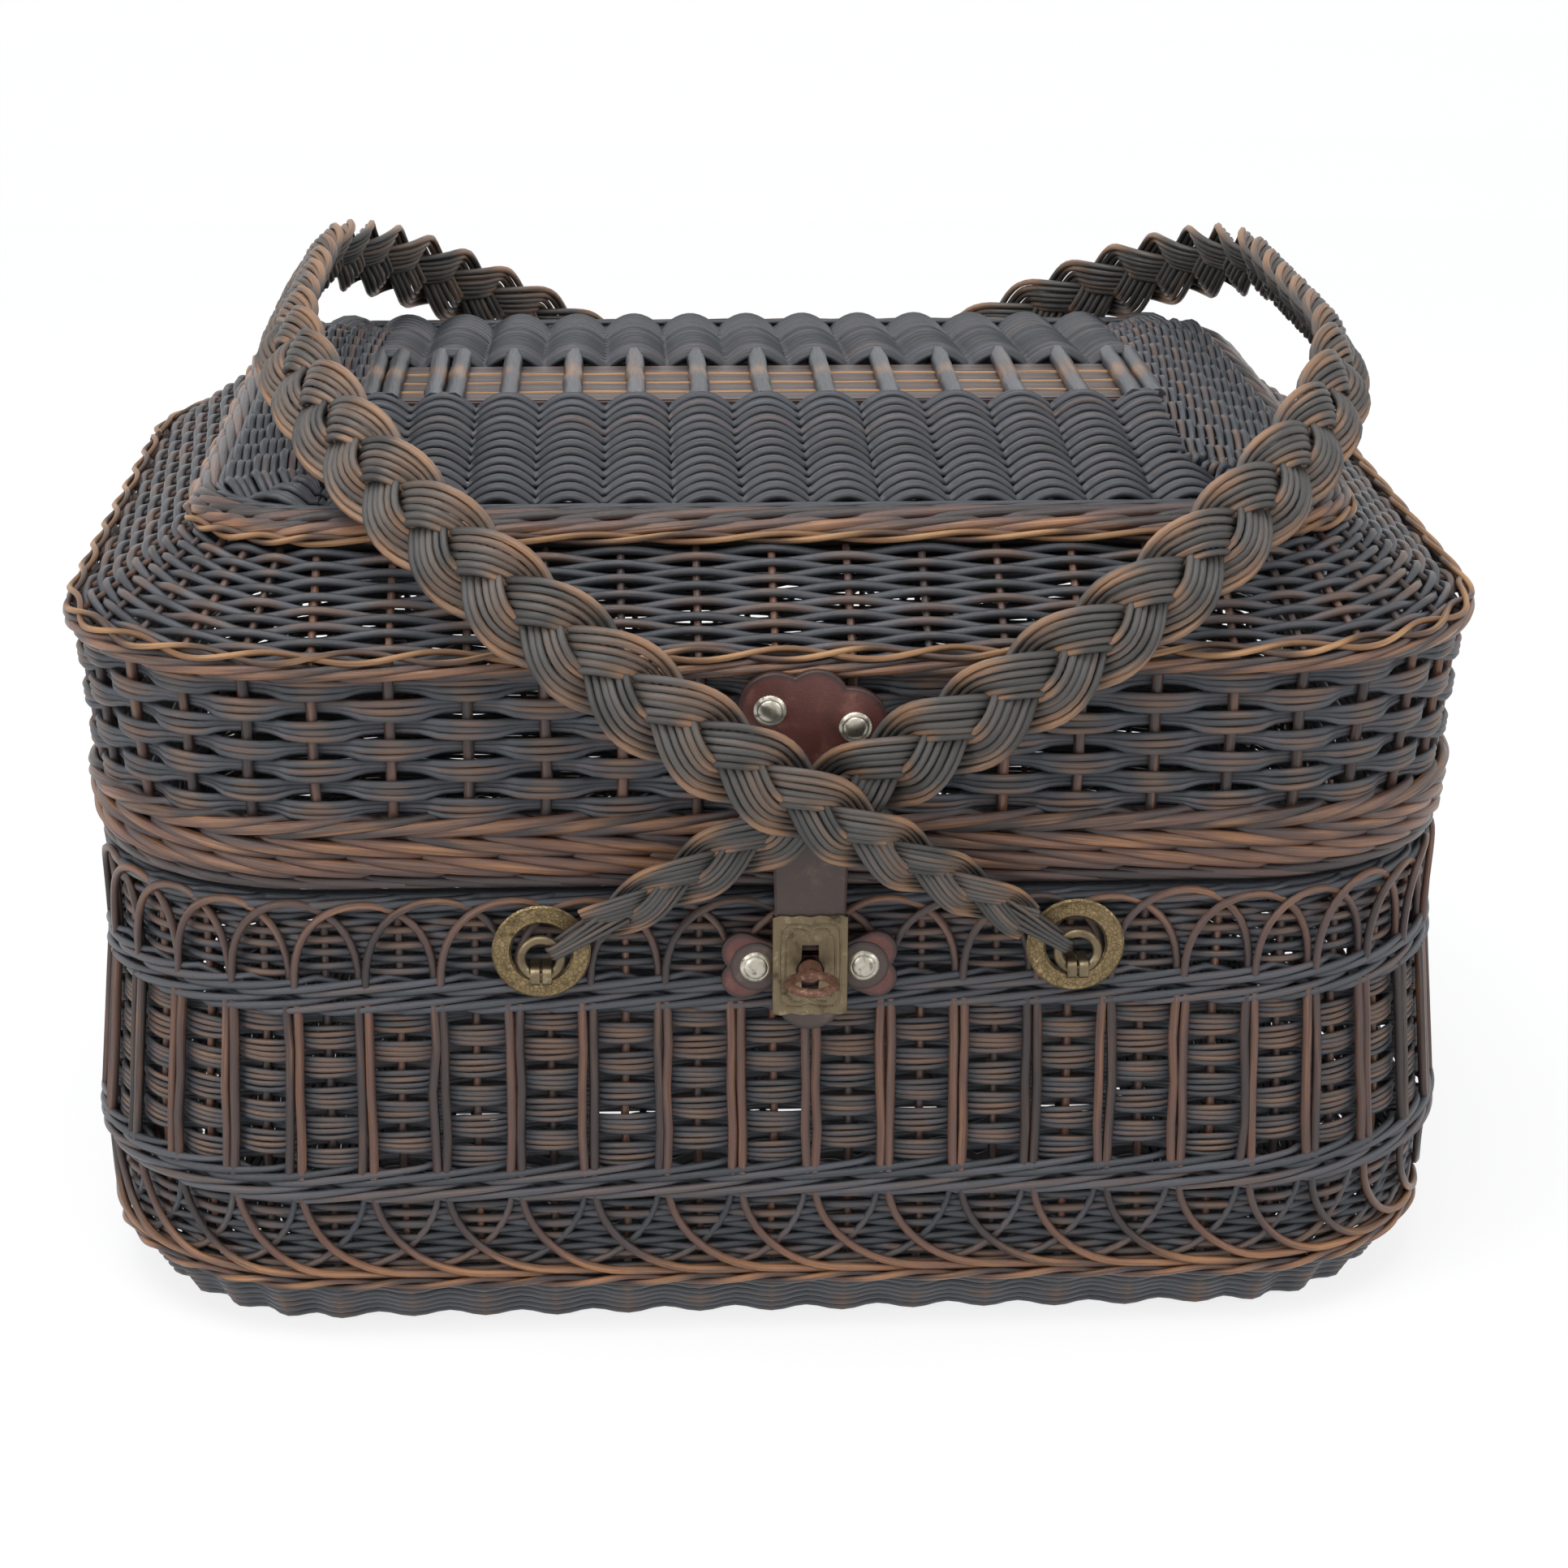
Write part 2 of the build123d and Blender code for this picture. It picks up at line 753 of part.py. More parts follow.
with BuildPart() as lid_tab:
    with BuildSketch(tab_plane):
        for k in (-1, 0, 1):
            with Locations((k * (tab_wide / 2 - tab_lobe), 4 - abs(k) * 3)):
                Circle(tab_lobe)
        with BuildLine():
            Polyline(
                (-tab_wide / 2 + 1, -1),
                (0, -tab_drop),
                (tab_wide / 2 - 1, -1),
                close=True,
            )
        make_face()
    extrude(amount=leather)
    with BuildSketch(front_plane):
        with Locations((0, strap_top_height - strap_lap / 2)):
            Rectangle(strap_top + 2 * seat, strap_lap + 2 * seat)
    extrude(amount=shoulder_depth, mode=Mode.SUBTRACT)

with BuildPart() as tab_rivet_caps:
    caps(tab_plane.offset(leather + seat), tab_rivets)

# Names and files
pieces = {
    "foot_weave": foot_weave,
    "foot_rope": foot_rope,
    "lower_wall": lower_wall,
    "lower_wale": lower_wale,
    "middle_wall": middle_wall,
    "upper_wale": upper_wale,
    "upper_wall": upper_wall,
    "rim_border": rim_border,
    "fence_rods": fence_rods,
    "base_weave": base_weave,
    "base_slats": base_slats,
    "base_cross_sticks": base_cross_sticks,
    "lid_border": lid_border,
    "lid_skirt": lid_skirt,
    "shoulder_wale": shoulder_wale,
    "lid_slope": lid_slope,
    "top_rope": top_rope,
    "top_border": top_border,
    "top_weave": top_weave,
    "top_slats": top_slats,
    "top_cross_sticks": top_cross_sticks,
    "hinge_pin": hinge_pin,
    "hinge_loops": hinge_loops,
    "washers": washers,
    "clips": clips,
    "left_rings": left_rings,
    "right_rings": right_rings,
    "left_plait": left_plait,
    "right_plait": right_plait,
    "lock_leather": lock_leather,
    "lock_rivet_caps": lock_rivet_caps,
    "turn_eye": turn_eye,
    "hasp_strap": hasp_strap,
    "hasp_cover": hasp_cover,
    "lid_tab": lid_tab,
    "tab_rivet_caps": tab_rivet_caps,
}

os.makedirs("parts", exist_ok=True)
for name, piece in pieces.items():
    piece.part.label = name
    export_step(piece.part, f"parts/{name}.step")
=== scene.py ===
import bpy
import bmesh
import numpy as np
from math import cos, pi, radians, sin
from mathutils import Matrix, Vector


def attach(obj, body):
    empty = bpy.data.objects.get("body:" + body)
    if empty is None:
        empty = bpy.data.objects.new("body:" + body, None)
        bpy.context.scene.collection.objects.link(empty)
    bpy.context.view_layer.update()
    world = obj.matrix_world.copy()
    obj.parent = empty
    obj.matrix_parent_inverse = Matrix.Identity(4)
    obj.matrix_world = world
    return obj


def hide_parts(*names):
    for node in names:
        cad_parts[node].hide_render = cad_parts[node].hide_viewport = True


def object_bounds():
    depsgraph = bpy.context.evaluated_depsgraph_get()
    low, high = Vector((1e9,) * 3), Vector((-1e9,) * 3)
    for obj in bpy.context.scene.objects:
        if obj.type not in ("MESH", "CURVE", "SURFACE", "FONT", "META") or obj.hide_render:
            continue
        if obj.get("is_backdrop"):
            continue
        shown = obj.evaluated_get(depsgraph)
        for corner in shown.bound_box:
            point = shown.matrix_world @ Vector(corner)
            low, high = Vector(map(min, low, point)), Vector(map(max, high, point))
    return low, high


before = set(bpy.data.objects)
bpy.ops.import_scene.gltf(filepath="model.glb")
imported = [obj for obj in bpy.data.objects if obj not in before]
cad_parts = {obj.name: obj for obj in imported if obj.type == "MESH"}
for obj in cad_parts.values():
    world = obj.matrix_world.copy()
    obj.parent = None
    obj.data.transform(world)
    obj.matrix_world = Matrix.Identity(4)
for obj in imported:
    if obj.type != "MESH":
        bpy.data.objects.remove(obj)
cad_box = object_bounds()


class Stain:
    """A socket of a finish: numbers and other sockets can be added to it, taken off and multiplied."""

    def __init__(self, tree, socket=None):
        self.tree, self.socket = tree, socket

    def node(self, kind, sockets={}, out=0, **settings):
        """Any other node, with what goes into its sockets and its settings; out is the socket that comes out."""
        made = self.tree.nodes.new(self.tree.bl_idname.removesuffix("Tree") + kind)
        for key, value in settings.items():
            setattr(made, key, value)
        for key, value in sockets.items():
            if isinstance(value, Stain):
                self.tree.links.new(value.socket, made.inputs[key])
            else:
                made.inputs[key].default_value = value
        return Stain(self.tree, made.outputs[out])

    def sum(self, operation, a, b=0.0):
        return self.node("Math", {0: a, 1: b}, operation=operation)

    def __add__(self, other):
        return self.sum("ADD", self, other)

    def __sub__(self, other):
        return self.sum("SUBTRACT", self, other)

    def __rsub__(self, other):
        return self.sum("SUBTRACT", other, self)

    def __mul__(self, other):
        return self.sum("MULTIPLY", self, other)

    __radd__, __rmul__ = __add__, __mul__

    def between(self, low, high):
        """0 below low, 1 above high."""
        return self.node("MapRange", {0: self, 1: low, 2: high}, interpolation_type="SMOOTHSTEP")

    def over(self, under, colour):
        """This much of a colour laid over another."""
        under, colour = (c if isinstance(c, Stain) else (*c, 1) for c in (under, colour))
        return self.node("Mix", {0: self, 6: under, 7: colour}, 2, data_type="RGBA")


def finish_of(name):
    """A new finish, and the Stain that its nodes grow from."""
    made = bpy.data.materials.new(name)
    made.use_nodes = True
    made.node_tree.nodes.clear()
    return made, Stain(made.node_tree)


def coat(made, shader, kind="Material"):
    """Ends the nodes of a finish, or of the room."""
    out = made.node_tree.nodes.new("ShaderNodeOutput" + kind)
    made.node_tree.links.new(shader.socket, out.inputs["Surface"])


def noise(place, scale, detail, **more):
    return place.node("TexNoise", {"Vector": place, "Scale": scale, "Detail": detail, **more})


def seen(stain):
    """1 where the eye, a gloss or clear glass meets the surface."""
    path = stain.node("LightPath")
    glossy, clear = (
        Stain(stain.tree, path.socket.node.outputs[f"Is {kind} Ray"]) for kind in ("Glossy", "Transmission")
    )
    return stain.sum("MINIMUM", path + glossy + clear, 1.0)


def set_out(name, data):
    """An object of this data, out on the table."""
    made = bpy.data.objects.new(name, data)
    bpy.context.collection.objects.link(made)
    return made


paper, ink = finish_of("white_paper")
grain = ink.node("TexNoise", {"Scale": 40.0, "Detail": 4.0})
plain = ink.node("BsdfDiffuse", {"Color": (0.2 * grain).over((0.92, 0.92, 0.92), (0.86, 0.86, 0.86))})
glow = ink.node("Emission", {"Color": (1, 1, 1, 1), "Strength": 1.0})
coat(paper, ink.node("MixShader", {0: 0.8 * seen(ink), 1: plain, 2: glow}))
sweep = bmesh.new()
near, far, bend, high, half_wide, under = -3.0, 1.6, 0.8, 3.4, 3.5, 0.0005  # metres; the basket stands just above it
edge = [(near, 0.0), (far, 0.0)]
edge += [(far + bend * sin(a), bend - bend * cos(a)) for a in np.linspace(0.2, pi / 2, 8)]
edge += [(far + bend, high)]
rows = [[sweep.verts.new((x, y, z - under)) for x in (-half_wide, half_wide)] for y, z in edge]
for (a, b), (d, c) in zip(rows, rows[1:]):
    sweep.faces.new((a, b, c, d))
sheet = bpy.data.meshes.new("paper_sweep")
sweep.to_mesh(sheet)
sheet.materials.append(paper)
set_out("paper_sweep", sheet)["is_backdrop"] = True

world = bpy.data.worlds.new("room")
world.use_nodes = True
world.node_tree.nodes.clear()
room = Stain(world.node_tree)
soft = room.node("Background", {"Color": (0.93, 0.96, 1.0, 1), "Strength": 0.8})
white = room.node("Background", {"Color": (1, 1, 1, 1), "Strength": 1.0})
coat(world, room.node("MixShader", {0: seen(room), 1: soft, 2: white}), "World")
bpy.context.scene.world = world

for name, place, target, size, power in [  # metres and watts
    ("lamp_over", (-0.3, -0.5, 1.9), (0, 0, 0.2), 1.4, 26),
    ("lamp_left", (-1.7, -1.3, 1.1), (0, 0, 0.15), 1.0, 13),
    ("lamp_right", (1.8, -1.0, 1.2), (0, 0, 0.15), 1.0, 10),
]:
    lamp = bpy.data.lights.new(name, "AREA")
    lamp.size, lamp.energy = size, power
    stand = set_out(name, lamp)
    stand.location = place
    stand.rotation_euler = (Vector(target) - Vector(place)).to_track_quat("-Z", "Y").to_euler()

eye = bpy.data.cameras.new("camera")
eye.lens = 77.7  # mm
camera = set_out("camera", eye)
stand_at, pan, tilt, roll = (-0.047, -1.143, 0.524), radians(2.8), radians(19.4), radians(0.3)
look = Vector((sin(pan) * cos(tilt), cos(pan) * cos(tilt), -sin(tilt)))
aim = look.to_track_quat("-Z", "Y").to_matrix() @ Matrix.Rotation(roll, 3, "Z")
camera.matrix_world = Matrix.Translation(stand_at) @ aim.to_4x4()
bpy.context.scene.camera = camera
bpy.context.scene.view_settings.view_transform = "Standard"


# The foot: black willow rods woven in and out of 66 stakes, drawn in towards the floor,
# with a twisted rope of two thinner brown rods laid over them where the wall turns upwards.
STAKES = 66
HALF_X, HALF_Y, ROUND = 0.225, 0.19, 0.084  # the widest outline, at the lid's shoulder, and its corner
MID_X, MID_Y = HALF_X - ROUND, HALF_Y - ROUND  # the corner's middle
ARC = ROUND * pi / 2
OUTLINE = 4 * (MID_X + MID_Y + ARC)
BASKET = [(0, 0.019), (0.0195, 0.007), (0.055, 0.003), (0.1165, 0.009), (0.1496, 0.0085)]  # (height, inset)
STAKE_IN = 0.0057  # from the wall's skin to the middle of its stakes
UNEVEN = 0.0003  # how far a row wanders up and down


def round_the_basket(turn):
    """Where a count of stakes comes to on the widest outline, and the way outwards there."""
    run = (np.asarray(turn, float) + 0.5) / STAKES % 1 * OUTLINE
    legs = [  # a straight: its length, start and way; a corner: its length, middle and first angle
        (2 * MID_Y, (-HALF_X, MID_Y), (0, -1)),
        (ARC, (-MID_X, -MID_Y), pi),
        (2 * MID_X, (-MID_X, -HALF_Y), (1, 0)),
        (ARC, (MID_X, -MID_Y), 1.5 * pi),
        (2 * MID_Y, (HALF_X, -MID_Y), (0, 1)),
        (ARC, (MID_X, MID_Y), 0),
        (2 * MID_X, (MID_X, HALF_Y), (-1, 0)),
        (ARC, (-MID_X, MID_Y), pi / 2),
    ]
    spot, out = np.zeros(run.shape + (2,)), np.zeros(run.shape + (2,))
    start = 0
    for long, (x, y), way in legs:
        here = (run >= start) & (run <= start + long)
        s = run[here] - start
        if isinstance(way, tuple):
            spot[here] = np.array((x, y)) + s[:, None] * np.array(way)
            out[here] = (way[1], -way[0])
        else:
            a = way + s / ROUND
            out[here] = np.stack([np.cos(a), np.sin(a)], 1)
            spot[here] = np.array((x, y)) + ROUND * out[here]
        start += long
    return spot, out


def on_wall(turn, height, deep, skin=BASKET, aside=0.0):
    """Points of a wall: height up it, deep behind its skin, and aside along it."""
    turn, height, deep, aside = np.broadcast_arrays(turn, height, deep, aside)
    spot, out = round_the_basket(turn)
    along = np.stack([-out[..., 1], out[..., 0]], -1)
    flat = spot - out * (np.interp(height, *zip(*skin)) + deep)[..., None] + along * aside[..., None]
    return np.concatenate([flat, height[..., None]], -1)


def all_round(steps):
    """The whole way round in counts of stakes, with this many steps from stake to stake."""
    return np.linspace(0, STAKES, STAKES * steps + 1)


def rod(points, thick, tone, worn):
    """One willow rod: where it runs, half its thickness, its own shade, and how far each point is rubbed."""
    n = len(points)
    return points, np.broadcast_to(thick, n), np.full(n, tone), np.broadcast_to(worn, n)


def run_along(points):
    """The length from the first point to each of them."""
    return np.concatenate([[0], np.cumsum(np.linalg.norm(np.diff(points, axis=0), axis=1))])


def bundle_tree():
    """Gives every line of a mesh a round skin, as thick as its points say."""
    tree = bpy.data.node_groups.new("rods", "GeometryNodeTree")
    for name, kind in [("Lines", "Geometry"), ("Sides", "Int"), ("Finish", "Material")]:
        tree.interface.new_socket(name, in_out="INPUT", socket_type="NodeSocket" + kind)
    tree.interface.new_socket("Rods", in_out="OUTPUT", socket_type="NodeSocketGeometry")
    start, end = tree.nodes.new("NodeGroupInput"), tree.nodes.new("NodeGroupOutput")
    lines, sides, finish = (Stain(tree, start.outputs[n]) for n in range(3))
    line = lines.node("MeshToCurve", {"Mesh": lines})
    thick = lines.node("InputNamedAttribute", {"Name": "thick"}, data_type="FLOAT")
    circle = lines.node("CurvePrimitiveCircle", {"Resolution": sides, "Radius": 1.0})
    around = {"Geometry": circle, "Name": "around", "Value": lines.node("InputPosition")}
    marked = lines.node("StoreNamedAttribute", around, data_type="FLOAT_VECTOR", domain="POINT")
    skin = {"Curve": line, "Profile Curve": marked, "Scale": thick, "Fill Caps": True}
    real = lines.node("RealizeInstances", {"Geometry": lines.node("CurveToMesh", skin)})
    smooth = lines.node("SetShadeSmooth", {"Geometry": real})
    painted = lines.node("SetMaterial", {"Geometry": smooth, "Material": finish})
    tree.links.new(painted.socket, end.inputs[0])
    return tree


BUNDLE = bundle_tree()


def settle(name, mesh, body, nodes):
    """Makes a piece of a mesh, and fixes it to its body in place of the plain nodes it dresses."""
    piece = set_out(name, mesh)
    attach(piece, body)
    if nodes:
        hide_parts(*nodes)


def bundle(name, rods, finish, body, *nodes, sides=6):
    """Makes one piece of many rods and fixes it to its body."""
    lines, thick, tone, worn = zip(*rods)
    first = np.cumsum([0] + [len(line) for line in lines])
    edges = [np.stack([np.arange(a, b - 1), np.arange(a + 1, b)], 1) for a, b in zip(first, first[1:])]
    bare = bpy.data.meshes.new("lines")
    bare.from_pydata(np.concatenate(lines).tolist(), np.concatenate(edges).tolist(), [])
    along = [run_along(line) for line in lines]
    for key, values in {"thick": thick, "tone": tone, "worn": worn, "along": along}.items():
        values = np.concatenate(values).astype(np.float32)
        bare.attributes.new(key, "FLOAT", "POINT").data.foreach_set("value", values)
    drawn = set_out("lines", bare)
    skin = drawn.modifiers.new("rods", "NODES")
    skin.node_group = BUNDLE
    for item in BUNDLE.interface.items_tree:
        if item.name in ("Sides", "Finish"):
            skin[item.identifier] = sides if item.name == "Sides" else finish
    mesh = bpy.data.meshes.new_from_object(drawn.evaluated_get(bpy.context.evaluated_depsgraph_get()))
    mesh.name = name
    bpy.data.objects.remove(drawn)
    bpy.data.meshes.remove(bare)
    settle(name, mesh, body, nodes)


def shade(colour, by):
    return tuple(by * c for c in colour)


def finished(made, stain, colour, rough, relief, strength, depth, **more):
    """Ends a finish with its colour, its roughness, its relief and whatever else is said of it."""
    normal = stain.node("Bump", {"Strength": strength, "Distance": depth, "Height": relief})
    coat(made, stain.node("BsdfPrincipled", {"Base Color": colour, "Roughness": rough, "Normal": normal, **more}))
    return made


def willow(name, dark, brown, bright, rubbed, gloss=0.42):
    """Dyed willow: streaks run along each rod, and the dye is rubbed through to brown and tan on the crests."""
    made, dye = finish_of(name)
    tone, worn, along = (dye.node("Attribute", out=2, attribute_name=key) for key in ("tone", "worn", "along"))
    across = dye.node("SeparateXYZ", {0: dye.node("Attribute", out=1, attribute_name="around")})
    side = Stain(dye.tree, across.socket.node.outputs[1])
    shift = 61.0 * tone
    fibre = dye.node("CombineXYZ", {0: 1.6 * across + shift, 1: 1.6 * side, 2: 22.0 * along})
    streak = noise(fibre, 1.6, 5.0, Roughness=0.62)
    patch = noise(dye.node("CombineXYZ", {0: 0.5 * across + 3.1 * shift, 1: 0.5 * side, 2: 30.0 * along}), 1.0, 3.0)
    fine = noise(dye.node("CombineXYZ", {0: 6.0 * across, 1: 6.0 * side, 2: 60.0 * along + shift}), 2.2, 4.0)
    base = dye.sum("FRACT", 7.31 * tone)
    dyed = (0.1 + 1.1 * streak * base + 0.35 * base).over(shade(dark, 0.42), shade(dark, 1.12))
    thin = (0.55 * base + 0.9 * patch + 0.55 * worn).between(0.98 - 0.16 * rubbed, 1.45 - 0.16 * rubbed)
    stained = thin.over(dyed, streak.between(0.3, 0.7).over(shade(brown, 0.6), brown))
    bare = (worn * (0.35 + 1.1 * patch) * (0.5 + streak)).between(0.42, 1.05)
    colour = (rubbed * bare).over(stained, fine.between(0.3, 0.7).over(shade(bright, 0.72), bright))
    return finished(made, dye, colour, gloss - 0.12 + 0.28 * fine, fine * 0.5 + streak, 0.5, 0.0005)


black = willow(
    "black_dyed_willow",
    (0.055, 0.059, 0.07), (0.11, 0.07, 0.056), (0.25, 0.135, 0.066), 0.74, 0.37,
)
brown = willow(
    "brown_stained_willow",
    (0.052, 0.036, 0.035), (0.13, 0.062, 0.041), (0.42, 0.195, 0.078), 1.0, 0.34,
)
tan = willow("tan_willow", (0.085, 0.04, 0.022), (0.21, 0.1, 0.04), (0.42, 0.225, 0.095), 1.3)
handled = willow(
    "handled_willow",
    (0.064, 0.06, 0.056), (0.135, 0.088, 0.062), (0.33, 0.175, 0.088), 0.9, 0.38,
)
chance = np.random.default_rng(7)


def woven_rows(low, high, rows, thick, swing, deep=STAKE_IN, tier=0, fluted=False):
    """Single rods in front of one stake and behind the next; fluted rows all swell out at every stake."""
    turn = all_round(6)
    made = []
    for row in range(rows):
        height = low + (high - low) * (row + 0.5) / rows
        wave = -np.cos(2 * pi * turn) if fluted else np.sin(pi * turn + pi * (row + tier))
        points = on_wall(turn, height + UNEVEN * np.sin(turn * 1.7 + row), deep - swing * wave)
        made.append(rod(points, thick, chance.random(), 0.1 + 0.55 * np.clip(wave, 0, 1)))
    return made


def twisted(place, middle, swing, thick, turns_each):
    """Two thin rods laid round each other; middle and swing are (height, depth)."""
    turn = all_round(8)
    made = []
    for strand in (0, 1):
        phase = 2 * pi * (turn * turns_each + strand / 2)
        points = place(turn, middle[0] + swing[0] * np.sin(phase), middle[1] - swing[1] * np.cos(phase))
        made.append(rod(points, thick, 0.13 + 0.31 * strand, 0.8 * (0.6 + 0.4 * np.cos(phase))))
    return made


bundle(
    "foot_rods", woven_rows(0.0009, 0.0178, 7, 0.0013, 0.0019, deep=0.0047, fluted=True),
    black, "basket", "foot_weave",
)
bundle(
    "foot_rope_rods", twisted(on_wall, (0.0192, 0.0008), (0.0014, 0.0009), 0.00112, 0.5),
    brown, "basket", "foot_rope",
)


# The stakes: stout willow rods stuck into the base and bent up all the way round.
# Every wall is woven on them, and they show as upright bars in the gaps of the weave.
def uprights(low, high, skin, deep, thick, tone=0.6, aside=0.0, at=0.5, wobble=0.0004):
    """One upright rod for every stake; at 0.5 they are the stakes and at 0 they stand between two."""
    made = []
    heights = np.linspace(low, high, 5)
    for k in range(STAKES):
        lean = chance.normal(0, wobble, 5)
        points = on_wall(k + at, heights, deep, skin, aside + lean)
        made.append(rod(points, thick, tone + 0.3 * chance.random(), 0.5))
    return made


bundle("stakes", uprights(0.002, 0.148, BASKET, STAKE_IN, 0.0014), brown, "basket", sides=5)


# The lower wall: single black rods in front of one stake and behind the next. Over them
# each fence rod is bent round in a bow, one of a pair to the right and the other to the
# left behind it, and runs on along the foot until it dives under its neighbours.
bundle("lower_randing", woven_rows(0.0215, 0.05, 12, 0.0013, 0.0016), black, "basket", "lower_wall")


def bows(way, deep, thick, tone, reach, tail):
    """Quarter bows from the wale down to the foot, reach stakes wide, and their tails along it."""
    wale, lowest, beside = 0.0535, 0.0232, 0.06
    a, t = np.linspace(0.0, pi / 2, 13), np.linspace(0.1, 1, 8)
    made = []
    for k in range(STAKES):
        wide = reach + chance.normal(0, 0.04)
        foot = lowest + chance.normal(0, 0.0004)
        along = np.concatenate([beside + wide * (1 - np.cos(a)), beside + wide + tail * t])
        height = np.concatenate([wale - (wale - foot) * np.sin(a), foot - 0.0022 * t**1.5])
        sunk = np.concatenate([deep + 0.0016 * np.cos(a) ** 2, deep + 0.0038 * t**2])
        rubbed = np.concatenate([0.25 + 0.55 * np.sin(a) ** 2, 0.8 - 0.3 * t])
        made.append(rod(on_wall(k + way * along, height, sunk), thick, tone + 0.3 * chance.random(), rubbed))
    return made


bundle("lower_bows_front", bows(1, 0.0006, 0.00132, 0.55, 1.45, 1.3), brown, "basket")
bundle("lower_bows_back", bows(-1, 0.003, 0.00115, 0.15, 1.35, 0.8), black, "basket")


# The two wales that bind the wall: three rods at a time, each laid in front of two
# stakes and behind the third, so that their strokes climb to the right in two tiers.
def strokes(place, middle, climb, out, thick, worn=0.3, tones=(0.0, 1.0), shift=0.0):
    """Three rods of a wale; each pair is (height, depth): of its tier, of a stroke's rise and of its swell."""
    shown = 0.72  # the share of its way that a rod lies in front
    turn = all_round(12)
    made = []
    for k in range(3):
        cycle = (turn + k + shift) / 3 % 1
        front = cycle < shown
        s = np.where(front, cycle / shown, (cycle - shown) / (1 - shown))
        lift = np.where(front, 2 * s - 1, 1 - 2 * s * s * (3 - 2 * s))
        swell = np.where(front, np.sin(pi * s) ** 0.45, -np.sin(pi * s) ** 0.7)
        height, deep = (m + c * lift + o * swell for m, c, o in zip(middle, climb, (out[0], -out[1])))
        size = thick * (1 - 0.18 * np.clip(lift, 0, 1) * front)
        made.append(rod(place(turn, height, deep), size, chance.uniform(*tones), worn * np.clip(swell, 0, 1)))
    return made


for wale, height, shift in (("lower_wale", 0.0523, 0.0), ("upper_wale", 0.1138, 0.5)):
    tiers = []
    for up, ahead in ((0.0, 0.0), (0.0057, 1.4)):
        tiers += strokes(on_wall, (height + up, 0.003), (0.0025, 0), (0, 0.0022), 0.00135, shift=shift + ahead)
    bundle(wale + "_rods", tiers, black, "basket", wale)


# The middle wall: groups of four black rods, spread out where they pass in front of a stake
# and drawn together behind the next, every group the other way from the one below it.
def grouped_rows(low, high, groups, each, thick, gap, swing, skin, brown_share):
    """Groups of rods, a gap apart from middle to middle; brown_share of the rods are rubbed brown."""
    turn = all_round(8)
    made = []
    for g in range(groups):
        height = low + (high - low) * (g + 0.5) / groups
        wave = np.sin(pi * turn + pi * g)
        side = np.sign(wave) * np.abs(wave) ** 0.55
        for j in range(each):
            spread = (j - (each - 1) / 2) * gap * (0.76 + 0.24 * side)
            tone = chance.uniform(0.78, 1.0) if chance.random() < brown_share else chance.uniform(0.0, 0.75)
            rise = spread + UNEVEN * np.sin(turn * 2.3 + 5 * g + j) - 0.0004 * np.clip(side, 0, 1)
            points = on_wall(turn, height + rise, STAKE_IN - swing * side, skin)
            made.append(rod(points, thick, tone, 0.1 + 0.6 * np.clip(wave, 0, 1)))
    return made


bundle(
    "middle_weave", grouped_rows(0.0612, 0.1106, 10, 4, 0.00092, 0.00182, 0.0021, BASKET, 0.3),
    black, "basket", "middle_wall",
)


# The fence: pairs of brown rods set against the middle wall, held by the two wales.
# Above the upper wale they part and cross in rounded arches, two stakes wide.
FENCE_THICK = 0.00156  # half of it, and half the distance of a pair
fence = []
for tone, aside in ((0.5, FENCE_THICK), (0.35, -FENCE_THICK)):
    fence += uprights(0.0575, 0.114, BASKET, 0.0014, FENCE_THICK, tone, aside, 0.0, 0.0003)
bundle("fence_pairs", fence, brown, "basket", "fence_rods")


def arches():
    """Each arch starts in front and comes down behind its neighbours."""
    foot, crown = 0.119, 0.1472
    made = []
    a = np.linspace(0, pi, 21)
    for k in range(STAKES):
        top = crown + chance.normal(0, 0.0006)
        height = foot + (top - foot) * np.sin(a) ** 0.8
        sunk = 0.0009 + 0.002 / (1 + np.exp(-5 * (a - pi / 2)))
        points = on_wall(k + 1 - 0.96 * np.cos(a), height, sunk)
        made.append(rod(points, 0.00132, 0.3 + 0.5 * chance.random(), 0.3 + 0.3 * np.sin(a)))
    return made


bundle("upper_arches", arches(), brown, "basket")


# The upper wall: finer black randing that lets a little light through, closed by a
# border in which each stake is bent down behind its neighbours round a stout inner rod.
bundle("upper_randing", woven_rows(0.1222, 0.1432, 9, 0.00124, 0.0017, tier=1), black, "basket", "upper_wall")
bundle(
    "rim_rods",
    strokes(on_wall, (0.1461, 0.005), (0.0015, 0), (0, 0.002), 0.0016, tones=(0.0, 0.6), shift=0.7)
    + [rod(on_wall(all_round(3), 0.1475, deep), 0.0018, 0.2, 0.1) for deep in (0.0089, 0.0063)],
    black, "basket", "rim_border",
)


# The lid's border: thick brown rods in four tiers. The upper tier climbs to the right and
# those under it fall, so that they meet in a herringbone, rubbed to orange on the crests.
LID = [(0.1503, 0.008), (0.225, 0.001), (0.2515, 0.04)]


def on_lid(turn, height, deep):
    return on_wall(turn, height, deep, LID)


border = strokes(on_lid, (0.1539, 0.0052), (-0.0012, 0), (0, 0.0022), 0.0017, 0.1, (0.0, 0.3))
for height, climb, shift in ((0.1596, -0.0028, 1.1), (0.166, -0.0028, 2.3), (0.1723, 0.0024, 0.3)):
    border += strokes(on_lid, (height, 0.0042), (climb, 0), (0, 0.0024), 0.002, 0.66, shift=shift)
border += [rod(on_lid(all_round(3), 0.1524 + 0.0034 * k, 0.0085), 0.0018, 0.2, 0.1) for k in range(7)]
bundle("lid_border_rods", border, brown, "lid", "lid_border")


